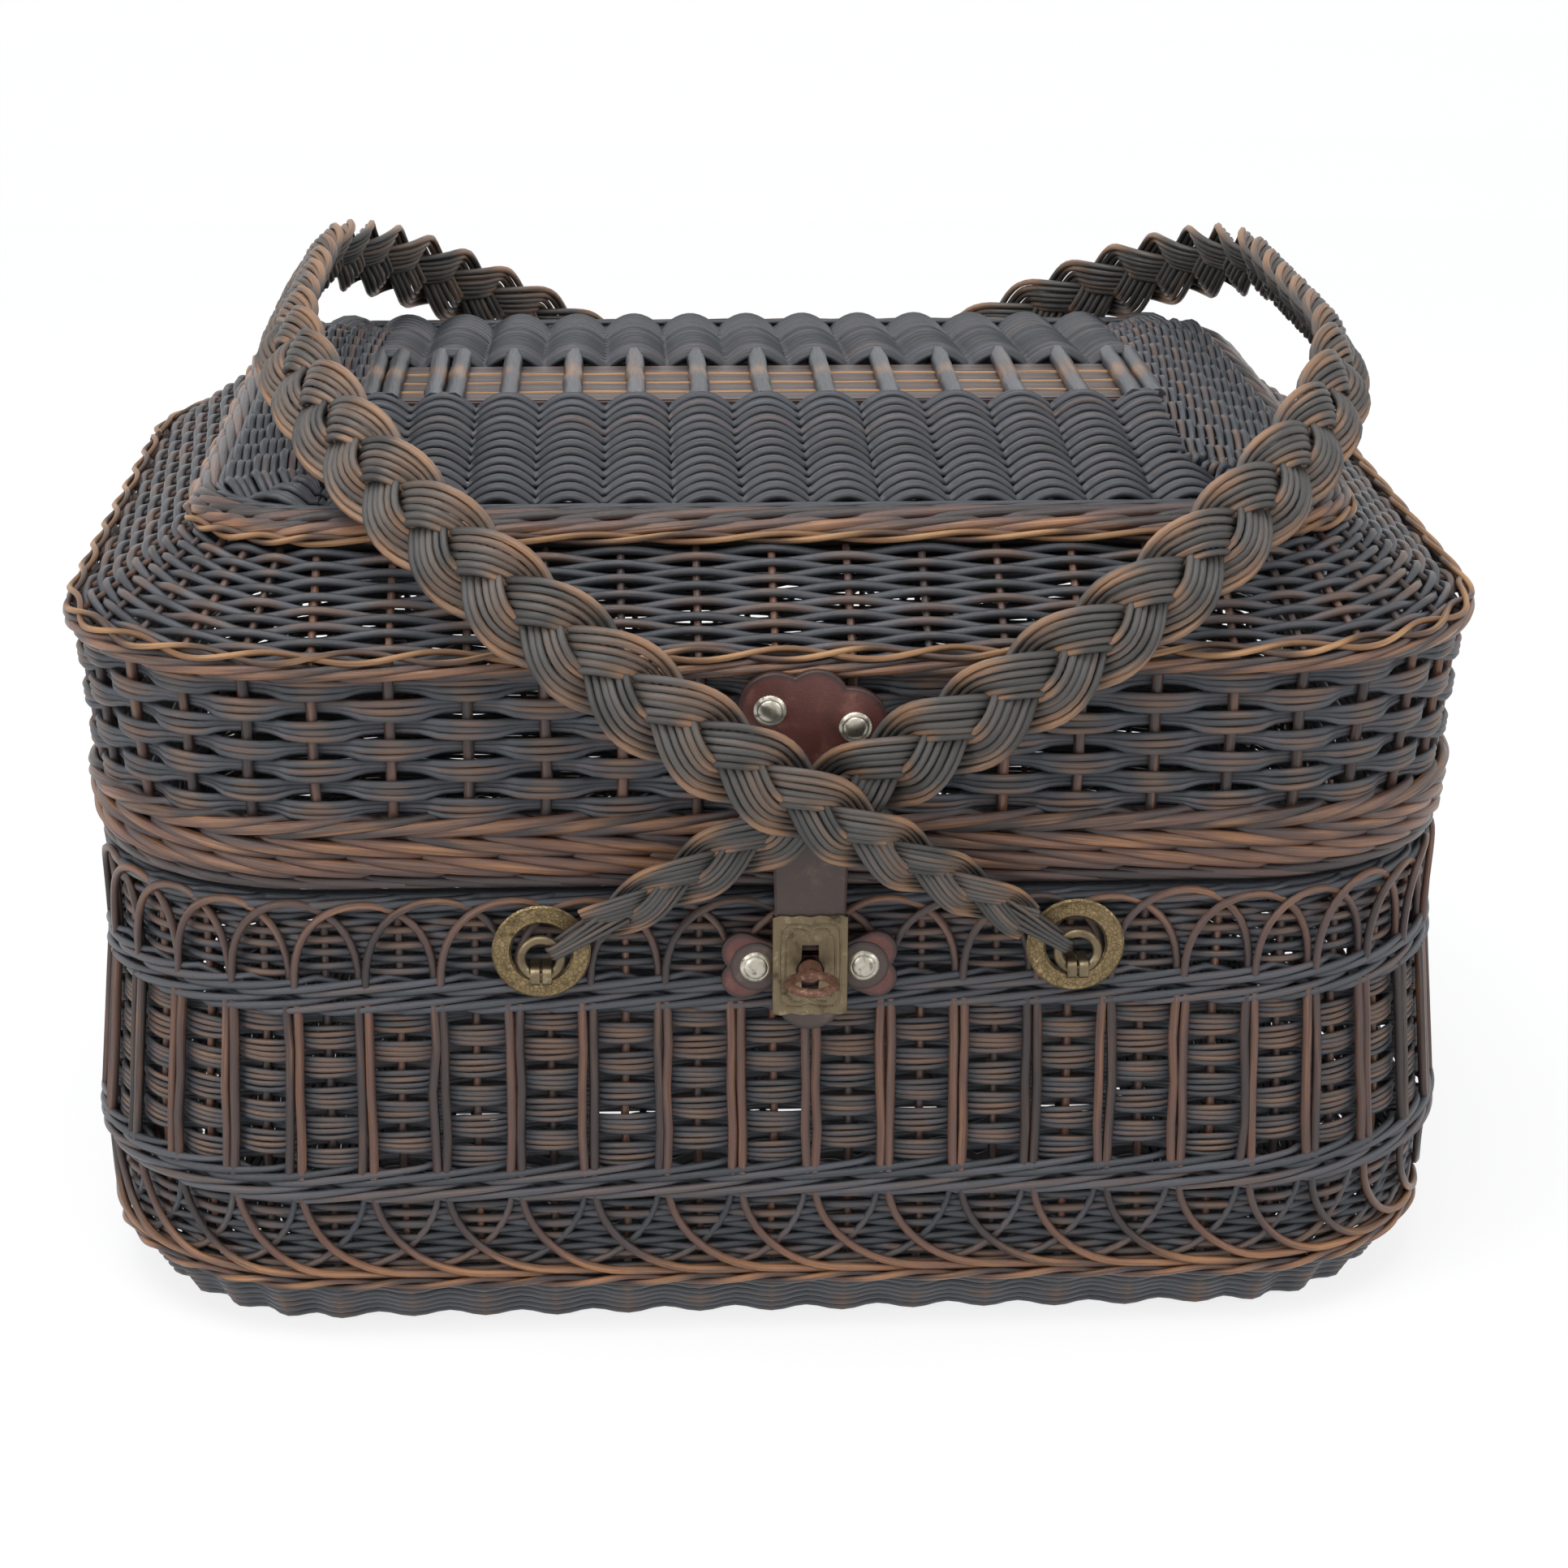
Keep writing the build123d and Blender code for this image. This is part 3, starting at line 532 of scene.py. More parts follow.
# The lid's skirt: broad groups of three rods, in front of one stake and behind the next,
# like bricks. Its stakes are brown, and they run on up the slope to the top.
bundle("lid_stakes", uprights(0.152, 0.224, LID, STAKE_IN, 0.0018), brown, "lid", sides=5)
bundle(
    "skirt_weave", grouped_rows(0.1748, 0.2204, 7, 3, 0.00122, 0.00232, 0.0021, LID, 0.42),
    black, "lid", "lid_skirt",
)


# The shoulder: a thin tan rope and thicker brown strokes under it bind the skirt where
# the lid turns inwards.
bundle(
    "shoulder_strokes",
    strokes(on_lid, (0.2228, 0.0035), (0.002, 0), (0, 0.0021), 0.0015, 0.66),
    brown, "lid", "shoulder_wale",
)
bundle("shoulder_rope", twisted(on_lid, (0.2272, 0.0002), (0.0012, 0.001), 0.00105, 0.45), tan, "lid")


# The slope: single black rods woven on the same stakes, with a chink beside each stake.
PLUMB = [(0, 0)]  # a skin that stands straight up on the widest outline


def on_slope(turn, share, lift):
    """Points of the slope: share of the way up it, lift square to its face from where the stakes lie."""
    run, rise, low, start, stakes = 0.039, 0.0265, 0.225, 0.0037, -0.0028
    face, lift = (run * run + rise * rise) ** 0.5, lift + stakes
    return on_wall(turn, low + rise * share + lift * run / face, start + run * share - lift * rise / face, PLUMB)


def slope_rows(rows, thick, swing):
    turn = all_round(6)
    made = []
    for row in range(rows):
        wave = np.sin(pi * turn + pi * row)
        share = 0.06 + 0.93 * (row + 0.5) / rows + 0.006 * np.sin(turn * 1.9 + row)
        points = on_slope(turn, share, swing * wave)
        made.append(rod(points, thick, chance.random() * 0.85, 0.1 + 0.5 * np.clip(wave, 0, 1)))
    return made


bundle("slope_weave", slope_rows(15, 0.00142, 0.0018), black, "lid", "lid_slope")
share = np.linspace(-0.02, 1.0, 4)
bundle(
    "slope_stakes",
    [rod(on_slope(k + 0.5, share, 0.0), 0.0013, 0.6 + 0.3 * chance.random(), 0.5) for k in range(STAKES)],
    brown, "lid", sides=5,
)


# The top's edge: a thin tan rope, a thick brown border twisted from six rods, and a
# fine black wale inside it, all lying on the ends of the stakes.
def on_top(turn, height, inset):
    return on_wall(turn, height, inset, PLUMB)


bundle(
    "top_rope_rods", twisted(on_top, (0.253, 0.0414), (0.0012, 0.0007), 0.00105, 0.4),
    tan, "lid", "top_rope",
)
bundle(
    "top_border_rods",
    strokes(on_top, (0.2548, 0.0455), (0.0021, 0.0004), (0.0006, 0.0016), 0.0021, 0.7, (0.0, 0.9))
    + strokes(on_top, (0.2575, 0.0482), (0.0006, 0.0022), (0.0014, 0.0004), 0.0019, 0.3, (0.0, 0.5), 1.3),
    brown, "lid", "top_border",
)
bundle(
    "top_inner_wale",
    strokes(on_top, (0.259, 0.052), (0.0003, 0.0013), (0.0012, 0), 0.0011, 0.2, (0.0, 0.5), 0.4),
    black, "lid", sides=5,
)


# The top: rows of three thin black rods humped over thirteen round sticks, from the
# border to a window in the middle. The outer rows go all the way round and the others
# turn back beside the window, so that the top rises to it like a low roof.
PITCH, WINDOW = 0.0214, (0.131, 0.028)  # from stick to stick; half the window


def hipped(x, y, half, low, rise):
    """Height of the roof over a point, from its border to its window."""
    across = [(h - np.abs(v)) / (h - w) for v, h, w in zip((x, y), half, WINDOW)]
    return low + rise * np.clip(np.minimum(*across), 0, 1)


def row_round(hx, hy, bend, half, corner):
    """A row round the whole plate: its points, and how many sticks it has passed at each."""
    a = np.linspace(0, pi / 2, 13)[1:-1]
    ahead, aside = np.linspace(bend - hx, hx - bend, 141), np.linspace(bend - hy, hy - bend, 101)
    turn_in, turn_out = (hx - bend) / PITCH, (half[0] - corner) / PITCH + 2.0
    corner_count, end_count = (turn_out - turn_in) * a / (pi / 2), round(2 * (half[1] - corner) / PITCH)
    x = np.concatenate([ahead, hx - bend + bend * np.sin(a), np.full(101, hx), hx - bend + bend * np.cos(a)])
    y = np.concatenate([np.full(141, -hy), bend - hy - bend * np.cos(a), aside, hy - bend + bend * np.sin(a)])
    passed = np.concatenate([
        ahead / PITCH, turn_in + corner_count,
        turn_out + end_count * (aside / (hy - bend) + 1) / 2, turn_out + end_count + corner_count,
    ])
    return [np.concatenate(v) for v in ((x, -x, x[:1]), (y, -y, y[:1]), (passed, passed, passed[:1]))]


def plate_rows(half, corner, low, rise, hump, thick):
    """Rows of a woven plate with its window, on a roof of this half size and corner."""
    wide, apart, tilt, end = 0.0083, 0.315, 0.0006, 0.0011  # a row, its rods' distance in it, their fall, a tuck
    rows, rings = (round((h - w) / wide) for h, w in zip(half[::-1], WINDOW[::-1]))
    made = []
    for row in range(rows):
        for j in (-1, 0, 1):
            inset = (row + 0.5 + apart * j) * wide
            hx, hy = half[0] - inset, half[1] - inset
            if row < rings:
                lines = [row_round(hx, hy, max(corner - inset, 0.006), half, corner)]
            else:
                tucked = half[0] - rings * wide + end
                x = np.linspace(-tucked, tucked, 141)
                lines = [(x, np.full(141, side * hy), x / PITCH) for side in (-1, 1)]
            for x, y, passed in lines:
                crest = np.abs(np.cos(pi * passed)) ** 0.85
                lift = hump * (crest - 0.25) - tilt * j
                points = np.stack([x, y, hipped(x, y, half, low, rise) + lift], 1)
                made.append(rod(points, thick, chance.random() * 0.75, 0.4 * crest * (j == 0) + 0.1))
    return made


bundle(
    "top_plate_rods", plate_rows((0.1723, 0.1373), 0.0313, 0.2576, 0.0095, 0.006, 0.00142),
    black, "lid", "top_weave", sides=5,
)


def sticks(level, thick):
    """Thirteen sticks across the window, the first two and the last doubled."""
    made = []
    y = np.linspace(-0.035, 0.035, 11)
    for k in range(13):
        double = (-0.0036, 0.0036) if k in (0, 1, 12) else (0.0,)
        for aside in double:
            x = (k - 6) * PITCH + aside + chance.normal(0, 0.0002, 11)
            rubbed = np.clip(1.05 - np.abs(y) / 0.02, 0, 1)
            made.append(rod(np.stack([x, y, np.full(11, level)], 1), thick, 0.35 * chance.random(), rubbed))
    return made


bundle("cross_sticks", sticks(0.2694, 0.0033), black, "lid", "top_cross_sticks", sides=10)


def slats(name, level, body, node):
    """Four flat slats side by side in the window, and a pale rod laid in each groove between them."""
    box = bmesh.new()
    pitch = WINDOW[1] / 2
    for k in range(4):
        made = bmesh.ops.create_cube(box, size=1)["verts"]
        bmesh.ops.scale(box, verts=made, vec=(2 * WINDOW[0] - 0.0006, pitch - 0.0023, 0.0026))
        bmesh.ops.translate(box, verts=made, vec=(0, (k - 1.5) * pitch, level))
    bmesh.ops.bevel(box, geom=box.edges[:], offset=0.0007, segments=3, affect="EDGES")
    mesh = bpy.data.meshes.new(name)
    box.to_mesh(mesh)
    spots = [v.co for v in mesh.vertices]
    for key, values in {
        "tone": [0.2 + round((y / pitch + 1.5) * 0.31, 3) for _, y, _ in spots],
        "worn": [0.3] * len(spots),
        "along": [x for x, _, _ in spots],
    }.items():
        mesh.attributes.new(key, "FLOAT", "POINT").data.foreach_set("value", values)
    around = [c for _, y, z in spots for c in (y * 500, z * 500, 0)]
    mesh.attributes.new("around", "FLOAT_VECTOR", "POINT").data.foreach_set("vector", around)
    mesh.materials.append(brown)
    settle(name, mesh, body, [node])
    x = np.linspace(-WINDOW[0], WINDOW[0], 24)
    grooves = [
        np.stack([x, (k - 1) * pitch + 0.0005 * np.sin(x * 90 + 2 * k), np.full(24, level + 0.0008)], 1)
        for k in range(3)
    ]
    pale = [rod(line, 0.0009, 0.2 * k, 0.95) for k, line in enumerate(grooves)]
    bundle(name + "_rods", pale, tan, body)


slats("window_slats", 0.2665, "lid", "top_slats")


# The base: the same weave and slats as the top, laid flat inside the foot, with its
# sticks on the upper side.
bundle(
    "base_rods", plate_rows((0.199, 0.164), 0.058, 0.0048, 0.0, 0.0034, 0.00152),
    black, "basket", "base_weave", sides=5,
)
bundle("base_sticks", sticks(0.0094, 0.0013), black, "basket", "base_cross_sticks")
slats("base_boards", 0.0066, "basket", "base_slats")


# The handles: each is a flat plait of three strands, six black rods to a strand, bent in
# a long hoop from the front ring to the back ring. The right one lies over the left.
OFF, SPREAD = 0.008, 0.082  # the lock from the middle of the front, and each ring from the lock
RING_Y, RING_Z, RING_OUT = 0.1881, 0.132, 0.006  # a ring's middle, and its radius
CROSS_AWAY, CROSS_OUT = 0.086, 0.009  # where the two handles cross, from the rings
ALONG_Y = np.array((0, 1, 0))


def unit(vectors):
    return vectors / np.linalg.norm(vectors, axis=-1)[..., None]


def hoop(reach, nest, round_end):
    """The handle's line with rounded corners: distance from the rings, depth, and the run along it."""
    flare, gentle = 0.0388, 0.15
    corners = [(0.018, -RING_Y), (CROSS_AWAY, -(RING_Y + CROSS_OUT + nest)), (reach, -(RING_Y + flare + nest))]
    corners = np.array(corners + [(x, -y) for x, y in corners[::-1]])
    points = [corners[0]]
    for a, b, c, radius in zip(corners, corners[1:], corners[2:], (gentle, round_end, round_end, gentle)):
        u, v = unit(a - b), unit(c - b)
        half = np.arccos(u @ v) / 2
        middle = b + unit(u + v) * radius / np.sin(half)
        start, end = (b + w * radius / np.tan(half) - middle for w in (u, v))
        swept = np.arctan2(start[0] * end[1] - start[1] * end[0], start @ end)
        for bend in swept * np.linspace(0, 1, 24):
            points.append(middle + np.array([[cos(bend), -sin(bend)], [sin(bend), cos(bend)]]) @ start)
    points = np.array(points + [corners[-1]])
    run = run_along(points)
    even = np.linspace(0, run[-1], 320)
    return np.interp(even, run, points[:, 0]), np.interp(even, run, points[:, 1]), even


def plait(side, lean, reach, nest, round_end):
    """Three strands of six rods that cross over and under each other, slimmer towards the rings."""
    turn_long, taper, rods, apart = 0.072, 0.12, 6, 0.0023  # a strand's way over and back; its rods' distance
    outermost, slim = (rods - 1) / 2, 12 / 27  # slim: its width at the rings, of its full width
    origin = np.array((OFF - side * SPREAD, 0, RING_Z))
    ahead, wide = np.array((side * cos(lean), 0, sin(lean))), np.array((sin(lean), 0, -side * cos(lean)))
    away, depth, run = hoop(reach, nest, round_end)
    line = origin + away[:, None] * ahead + depth[:, None] * ALONG_Y
    deep = np.cross(unit(np.gradient(line, run, axis=0)), wide)
    near = np.clip(np.minimum(run, run[-1] - run) / taper, 0, 1)
    width, thick = slim + (1 - slim) * near, 0.7 + 0.3 * near
    turns = round(run[-1] / turn_long)
    made = []
    for strand in range(3):
        phase = 2 * pi * (turns * run / run[-1] + strand / 3 + 0.5 / 6)
        across, through = 0.0084 * width * np.sin(phase), 0.0031 * thick * np.sin(2 * phase)
        middle = line + across[:, None] * wide + through[:, None] * deep
        beside = unit(np.cross(unit(np.gradient(middle, run, axis=0)), deep))
        over = np.sign(np.sin(2 * phase)) * np.abs(np.sin(2 * phase)) ** 0.5
        for j in range(rods):
            o = j - outermost
            arch = 0.0009 * (1 - (o / outermost) ** 2) * over
            stray = 0.00025 * np.sin(run * chance.uniform(60, 140) + 6 * chance.random())
            points = middle + ((o * apart + stray) * width)[:, None] * beside + arch[:, None] * deep
            rub = 0.2 + 0.75 * np.abs(np.sin(phase)) ** 3 * (0.35 + 0.65 * abs(o) / outermost)
            size = chance.uniform(0.00112, 0.00138) * (0.35 + 0.65 * width)
            made.append(rod(points, size, chance.random() * 0.9, rub))
    # Four rods of each end are laid round the ring's wire and back into the plait.
    a = np.linspace(0, pi, 9)
    out = np.concatenate([[0.03, 0.022, 0.012], RING_OUT - 0.0027 * np.sin(a), [0.012, 0.022, 0.03]])
    back = np.concatenate([[0.0016, 0.0026, 0.0033], 0.0027 * np.cos(a), [-0.0033, -0.0026, -0.0016]])
    fan = 0.00104 + 0.00096 * np.clip((out - 0.008) / 0.018, 0, 1)
    follow = 0.0075 * np.clip((out - 0.018) / 0.068, 0, 1) * (1 + nest / CROSS_OUT)
    for end in (-1, 1):
        for o in (-1.5, -0.5, 0.5, 1.5):
            points = origin + out[:, None] * ahead + (o * fan)[:, None] * wide
            points = points + (end * (RING_Y + follow + back))[:, None] * ALONG_Y
            made.append(rod(points, 0.00076, chance.random() * 0.9, 0.5))
    return made


for hand, side, lean, reach, nest, round_end in (
    ("left", 1, 32, 0.306, 0.0, 0.15), ("right", -1, 34.15, 0.297, 0.0138, 0.17),
):
    rods = plait(side, radians(lean), reach, nest, round_end)
    bundle(hand + "_plait_rods", rods, handled, hand + "_handle", hand + "_plait")


# The hinge: a willow rod tied along the back of the lid's border turns in three brass
# loops that are nailed to the basket's rim.
def cover(solid, rings, closed):
    """Faces from each ring of corners to the next."""
    for here, ahead in zip(rings, rings[1:] + rings[:1] if closed else rings[1:]):
        for i in range(len(here)):
            j = (i + 1) % len(here)
            solid.faces.new((here[i], ahead[i], ahead[j], here[j]))


def turned(solid, profile, place, count, milling=0.0):
    """Turns a closed profile of (radius, height) points about the height of a place; its rim can be milled."""
    rim = 0.7 * max(r for r, _ in profile)
    rings = []
    for k in range(count):
        a = 2 * pi * k / count
        cut = [(r - milling * (k % 2) * (r > rim), h) for r, h in profile]
        rings.append([solid.verts.new(place @ Vector((r * cos(a), r * sin(a), h))) for r, h in cut])
    cover(solid, rings, True)


def strip(solid, path, wide, thick, side=None, up=None, closed=False):
    """A flat strip with softened edges along a path; its width lies along side, or its thickness along up."""
    path = np.array(path, float)
    way = unit(np.roll(path, -1, 0) - np.roll(path, 1, 0) if closed else np.gradient(path, axis=0))
    side = np.broadcast_to(np.cross(up, way) if side is None else side, path.shape)
    up = np.cross(way, side)
    soft, t = 0.3 * thick, thick / 2
    rings = []
    for p, s, u, w in zip(path, side, up, np.broadcast_to(wide, len(path))):
        h = w / 2
        corners = [(h, t - soft), (h - soft, t), (soft - h, t), (-h, t - soft)]
        corners += [(-a, -b) for a, b in corners]
        rings.append([solid.verts.new(p + a * s + b * u) for a, b in corners])
    cover(solid, rings, closed)
    if not closed:
        solid.faces.new(rings[0][::-1])
        solid.faces.new(rings[-1])


def eased(points, rounds=3):
    """The points with their corners cut round."""
    points = np.array(points, float)
    for _ in range(rounds):
        a, b = points[:-1], points[1:]
        cut = np.stack([0.75 * a + 0.25 * b, 0.25 * a + 0.75 * b], 1).reshape(-1, points.shape[1])
        points = np.concatenate([points[:1], cut, points[-1:]])
    return points


def fixed(name, solid, finish, body, *nodes):
    """Ends a solid, gives it its finish and fixes it to its body."""
    bmesh.ops.remove_doubles(solid, verts=solid.verts[:], dist=1e-7)
    bmesh.ops.recalc_face_normals(solid, faces=solid.faces[:])
    mesh = bpy.data.meshes.new(name)
    solid.to_mesh(mesh)
    mesh.shade_smooth()
    mesh.set_sharp_from_angle(angle=radians(40))
    mesh.materials.append(finish)
    settle(name, mesh, body, nodes)


def cells(place, scale, **more):
    return place.node("TexVoronoi", {"Vector": place, "Scale": scale, **more}, feature="DISTANCE_TO_EDGE")


def metal(name, dark, base, pale, rough, shine, scale, carved=0.0):
    """Worn metal: dark in the hollows, bare on the high spots, with carved scrolls where it is carved."""
    made, ore = finish_of(name)
    place = ore.node("TexCoord", out=3)
    cloud, pits = noise(place, scale, 6.0, Roughness=0.6), noise(place, 9.0 * scale, 3.0)
    line = 1.0 - cells(place, 700.0, Randomness=0.85).between(0.02, 0.12)
    hollow = ore.sum("MAXIMUM", 0.8 * (1.0 - cloud).between(0.52, 0.74), carved * line)
    bare = (cloud + 0.25 * pits).between(0.66, 0.86)
    colour = hollow.over(bare.over(base, pale), dark)
    relief = 0.4 * cloud + 0.15 * pits - 0.6 * carved * line
    return finished(made, ore, colour, rough + 0.35 * hollow - 0.1 * bare, relief, 0.5, 0.0003, Metallic=shine)


brass = metal(
    "aged_brass",
    (0.03, 0.022, 0.014), (0.165, 0.128, 0.078), (0.3, 0.24, 0.15), 0.4, 0.9, 150.0,
)
carved_brass = metal(
    "carved_brass",
    (0.03, 0.022, 0.012), (0.22, 0.16, 0.082), (0.4, 0.3, 0.155), 0.4, 0.9, 300.0, 0.45,
)
pale_brass = metal(
    "pale_brass",
    (0.12, 0.1, 0.075), (0.46, 0.43, 0.36), (0.7, 0.66, 0.58), 0.34, 0.95, 420.0,
)
rust = metal(
    "rusty_iron",
    (0.03, 0.016, 0.012), (0.135, 0.062, 0.038), (0.34, 0.2, 0.13), 0.62, 0.45, 700.0,
)

HINGE_Y, HINGE_Z = 0.1825, 0.14995
ALONG_X = (1, 0, 0)
x = np.linspace(-0.15, 0.15, 31)
pin = np.stack([x, HINGE_Y + 0.0001 * np.sin(x * 60), np.full(31, HINGE_Z)], 1)
bundle("hinge_rod", [rod(pin, 0.0024, 0.4, 0.3)], brown, "lid", "hinge_pin", sides=12)
loops = bmesh.new()
band_out, band_wide = 0.0039, 0.0038
for x in (-0.12, 0.0, 0.12):
    a = np.linspace(-0.5 * pi, 1.5 * pi, 37)[:-1]
    ring = np.stack([np.full(36, x), HINGE_Y + band_out * np.cos(a), HINGE_Z + band_out * np.sin(a)], 1)
    strip(loops, ring, band_wide, 0.0017, side=ALONG_X, closed=True)
    foot = [(0.0003, -0.0046), (-0.001, -0.0066), (-0.003, -0.0066)]
    strip(loops, eased([(x, HINGE_Y + y, HINGE_Z + z) for y, z in foot]), band_wide, 0.0013, side=ALONG_X)
fixed("hinge_bands", loops, brass, "basket", "hinge_loops")


# The handles' fittings: carved brass washers on the wall, a folded brass clip through
# each, and a ring that hangs in the clip and carries the end of a plait.
WASHER_Y = 0.182  # the skin of the wall under the washers


def facing(origin, x_dir, z_dir):
    """A place whose height is z_dir."""
    x, z = Vector(x_dir).normalized(), Vector(z_dir).normalized()
    return Matrix.Translation(origin) @ Matrix((x, z.cross(x), z)).transposed().to_4x4()


def mm(*points):
    """Points drawn in millimetres."""
    return [(x / 1000, y / 1000) for x, y in points]


def circle(centre, radius, count, flat=1.0):
    return [
        (centre[0] + radius * cos(a), centre[1] + flat * radius * sin(a))
        for a in np.linspace(0, 2 * pi, count, endpoint=False)
    ]


rim = mm((9.4, 0.1), (9.2, 0.7), (9.9, 1.3), (10.8, 1.0), (12.2, 1.1), (13.6, 1.0), (14.5, 1.3))
rim += mm((15.1, 0.7), (14.9, 0.1))
bend = mm((181.5, 2.4), (185.0, 2.5), (188.1, 2.6))
CLIP_Z, CLIP_ROUND = 0.1264, 0.0026  # the middle of the fold that holds the ring, and its radius
fold = [(RING_Y + CLIP_ROUND * sin(a), CLIP_ROUND * cos(a)) for a in np.linspace(0.2, pi - 0.2, 11)]
fold = bend + fold + [(y, -z) for y, z in bend[::-1]]
washers, clips = bmesh.new(), bmesh.new()
for ring in (OFF - SPREAD, OFF + SPREAD):
    for end in (-1, 1):
        turned(washers, rim[::-1], facing((ring, end * WASHER_Y, RING_Z), (-end, 0, 0), (0, end, 0)), 72)
        for half in (-0.0018, 0.0018):
            strip(clips, [(ring + half, end * y, CLIP_Z + z) for y, z in fold], 0.0031, 0.0009, side=ALONG_X)
fixed("brass_washers", washers, carved_brass, "basket", "washers")
fixed("brass_clips", clips, brass, "basket", "clips")
for hand, x in (("left", OFF - SPREAD), ("right", OFF + SPREAD)):
    rings = bmesh.new()
    for end in (-1, 1):
        place = facing((x, end * RING_Y, RING_Z), ALONG_X, (0, end, 0))
        turned(rings, circle((RING_OUT, 0), 0.0015, 12, 0.92), place, 48)
    fixed(hand + "_brass_rings", rings, brass, hand + "_handle", hand + "_rings")


# The lock: an oxblood leather plate with lobed ends on the wall, held by two domed
# rivets with a milled edge, each on a small leather disc. A rusty eye turns in its middle.
def leather(name, dark, base, pale):
    """Oiled leather: darker and drier at its edges, with fine creases and a few rubbed spots."""
    made, hide = finish_of(name)
    place = hide.node("TexCoord", out=3)
    edge = hide.node("Attribute", out=2, attribute_name="edge")
    cloud, crease = noise(place, 120.0, 5.0), noise(place, 420.0, 6.0, Distortion=1.5)
    worn = (cloud + 0.3 * crease).between(0.66, 0.95)
    colour = (0.85 * edge + 0.4 * (1.0 - cloud).between(0.5, 0.75)).over(worn.over(base, pale), dark)
    relief = 0.3 * cells(place, 1500.0).between(0.0, 0.25) + crease
    return finished(made, hide, colour, 0.36 + 0.25 * cloud, relief, 0.45, 0.0003)


oxblood = leather("oxblood_leather", (0.02, 0.009, 0.007), (0.092, 0.026, 0.02), (0.19, 0.075, 0.055))
dark_leather = leather("dark_leather", (0.016, 0.01, 0.008), (0.05, 0.03, 0.024), (0.11, 0.07, 0.052))


def lobed(circles, count):
    """The outline round a cluster of circles, each (x, y, radius), seen from the origin."""
    outline = []
    for a in np.linspace(0, 2 * pi, count, endpoint=False):
        reach = 0.0
        for x, y, radius in circles:
            along = x * cos(a) + y * sin(a)
            inside = radius**2 - x * x - y * y + along**2
            if inside > 0:
                reach = max(reach, along + inside**0.5)
        outline.append((reach * cos(a), reach * sin(a)))
    return outline


def cut_plate(solid, outlines, thick, bevel, place, inset=0.0):
    """A flat plate cut to outlines, the first its edge and the others holes; inset marks its rim."""
    curve = bpy.data.curves.new("cut", "CURVE")
    curve.dimensions, curve.fill_mode = "2D", "BOTH"
    curve.extrude, curve.offset = thick / 2 - bevel, -bevel
    curve.bevel_depth, curve.bevel_resolution = bevel, 2
    for outline in outlines:
        spline = curve.splines.new("POLY")
        spline.points.add(len(outline) - 1)
        for point, (x, y) in zip(spline.points, outline):
            point.co = (x, y, 0, 1)
        spline.use_cyclic_u = True
    shape = bpy.data.objects.new("cut", curve)
    mesh = bpy.data.meshes.new_from_object(shape)
    bpy.data.objects.remove(shape)
    plate = bmesh.new()
    plate.from_mesh(mesh)
    bmesh.ops.remove_doubles(plate, verts=plate.verts[:], dist=1e-6)
    edge = plate.verts.layers.float.new("edge")
    for vert in plate.verts:
        vert[edge] = 1.0
    if inset:
        front = [f for f in plate.faces if f.normal.z > 0.99 and f.calc_center_median().z > thick / 2 - 1e-5]
        bmesh.ops.inset_region(plate, faces=front, thickness=inset, depth=0.0002)
        for face in front:
            for vert in face.verts:
                vert[edge] = 0.0
    plate.transform(place @ Matrix.Translation((0, 0, thick / 2)))
    plate.to_mesh(mesh)
    solid.from_mesh(mesh)


def rivets(name, place, spread, body, node, disc=0.0):
    """Two domed caps side by side, with a milled edge and a ring of fine strokes round a plain middle."""
    caps = bmesh.new()
    profile = mm((0.1, -0.2), (4.9, -0.2), (5.0, 0.4), (4.6, 0.9), (4.0, 1.2), (3.7, 1.1), (3.3, 1.5))
    profile += mm((2.4, 1.9), (1.2, 2.1), (0.1, 2.2))
    for side in (-1, 1):
        turned(caps, profile, place @ Matrix.Translation((side * spread / 2, 0, 0.0001)), 64, 0.00016)
    fixed(name, caps, pale_brass, body, node)
    if disc:
        discs = bmesh.new()
        for side in (-1, 1):
            spot = place @ Matrix.Translation((side * spread / 2, 0, -0.0005))
            cut_plate(discs, [circle((0, 0), disc, 48)], 0.0008, 0.0003, spot, 0.0008)
        fixed(name + "_discs", discs, dark_leather, body)


LOCK_Z, LOCK_Y = 0.127, 0.18199
LEATHER, TO_FRONT = 0.0026, (0, -1, 0)  # its thickness; the way the front faces
lock_place = facing((OFF, -LOCK_Y, LOCK_Z), ALONG_X, TO_FRONT)
lock = bmesh.new()
ends = [(s * 0.0165, 0, 0.0088) for s in (-1, 1)]
ends += [(s * 0.0206, t * 0.0044, 0.0064) for s in (-1, 1) for t in (-1, 1)]
ends += [(s * 0.008, 0, 0.0076) for s in (-1, 1)] + [(0, 0, 0.0072)]
cut_plate(lock, [lobed(ends, 160), circle((0, 0), 0.0024, 24)], LEATHER, 0.0006, lock_place, 0.0013)
fixed("lock_plate", lock, oxblood, "basket", "lock_leather")
on_lock = facing((OFF, -LOCK_Y - 0.0029, LOCK_Z), ALONG_X, TO_FRONT)
rivets("lock_rivets", on_lock, 0.033, "basket", "lock_rivet_caps", 0.0078)

EYE_Y = 0.19949
eye_piece = bmesh.new()
stem = mm((0.1, 0.1), (2.0, 0.1), (2.0, 6.6), (3.7, 6.7), (3.6, 7.8), (2.4, 9.8), (2.0, 11.2), (0.1, 11.2))
turned(eye_piece, stem, lock_place, 24)
turned(eye_piece, circle((0.0069, 0), 0.0016, 12, 0.85), facing((OFF, -EYE_Y, LOCK_Z), ALONG_X, (0, 0, 1)), 48)
fixed("iron_eye", eye_piece, rust, "turn_eye", "turn_eye")


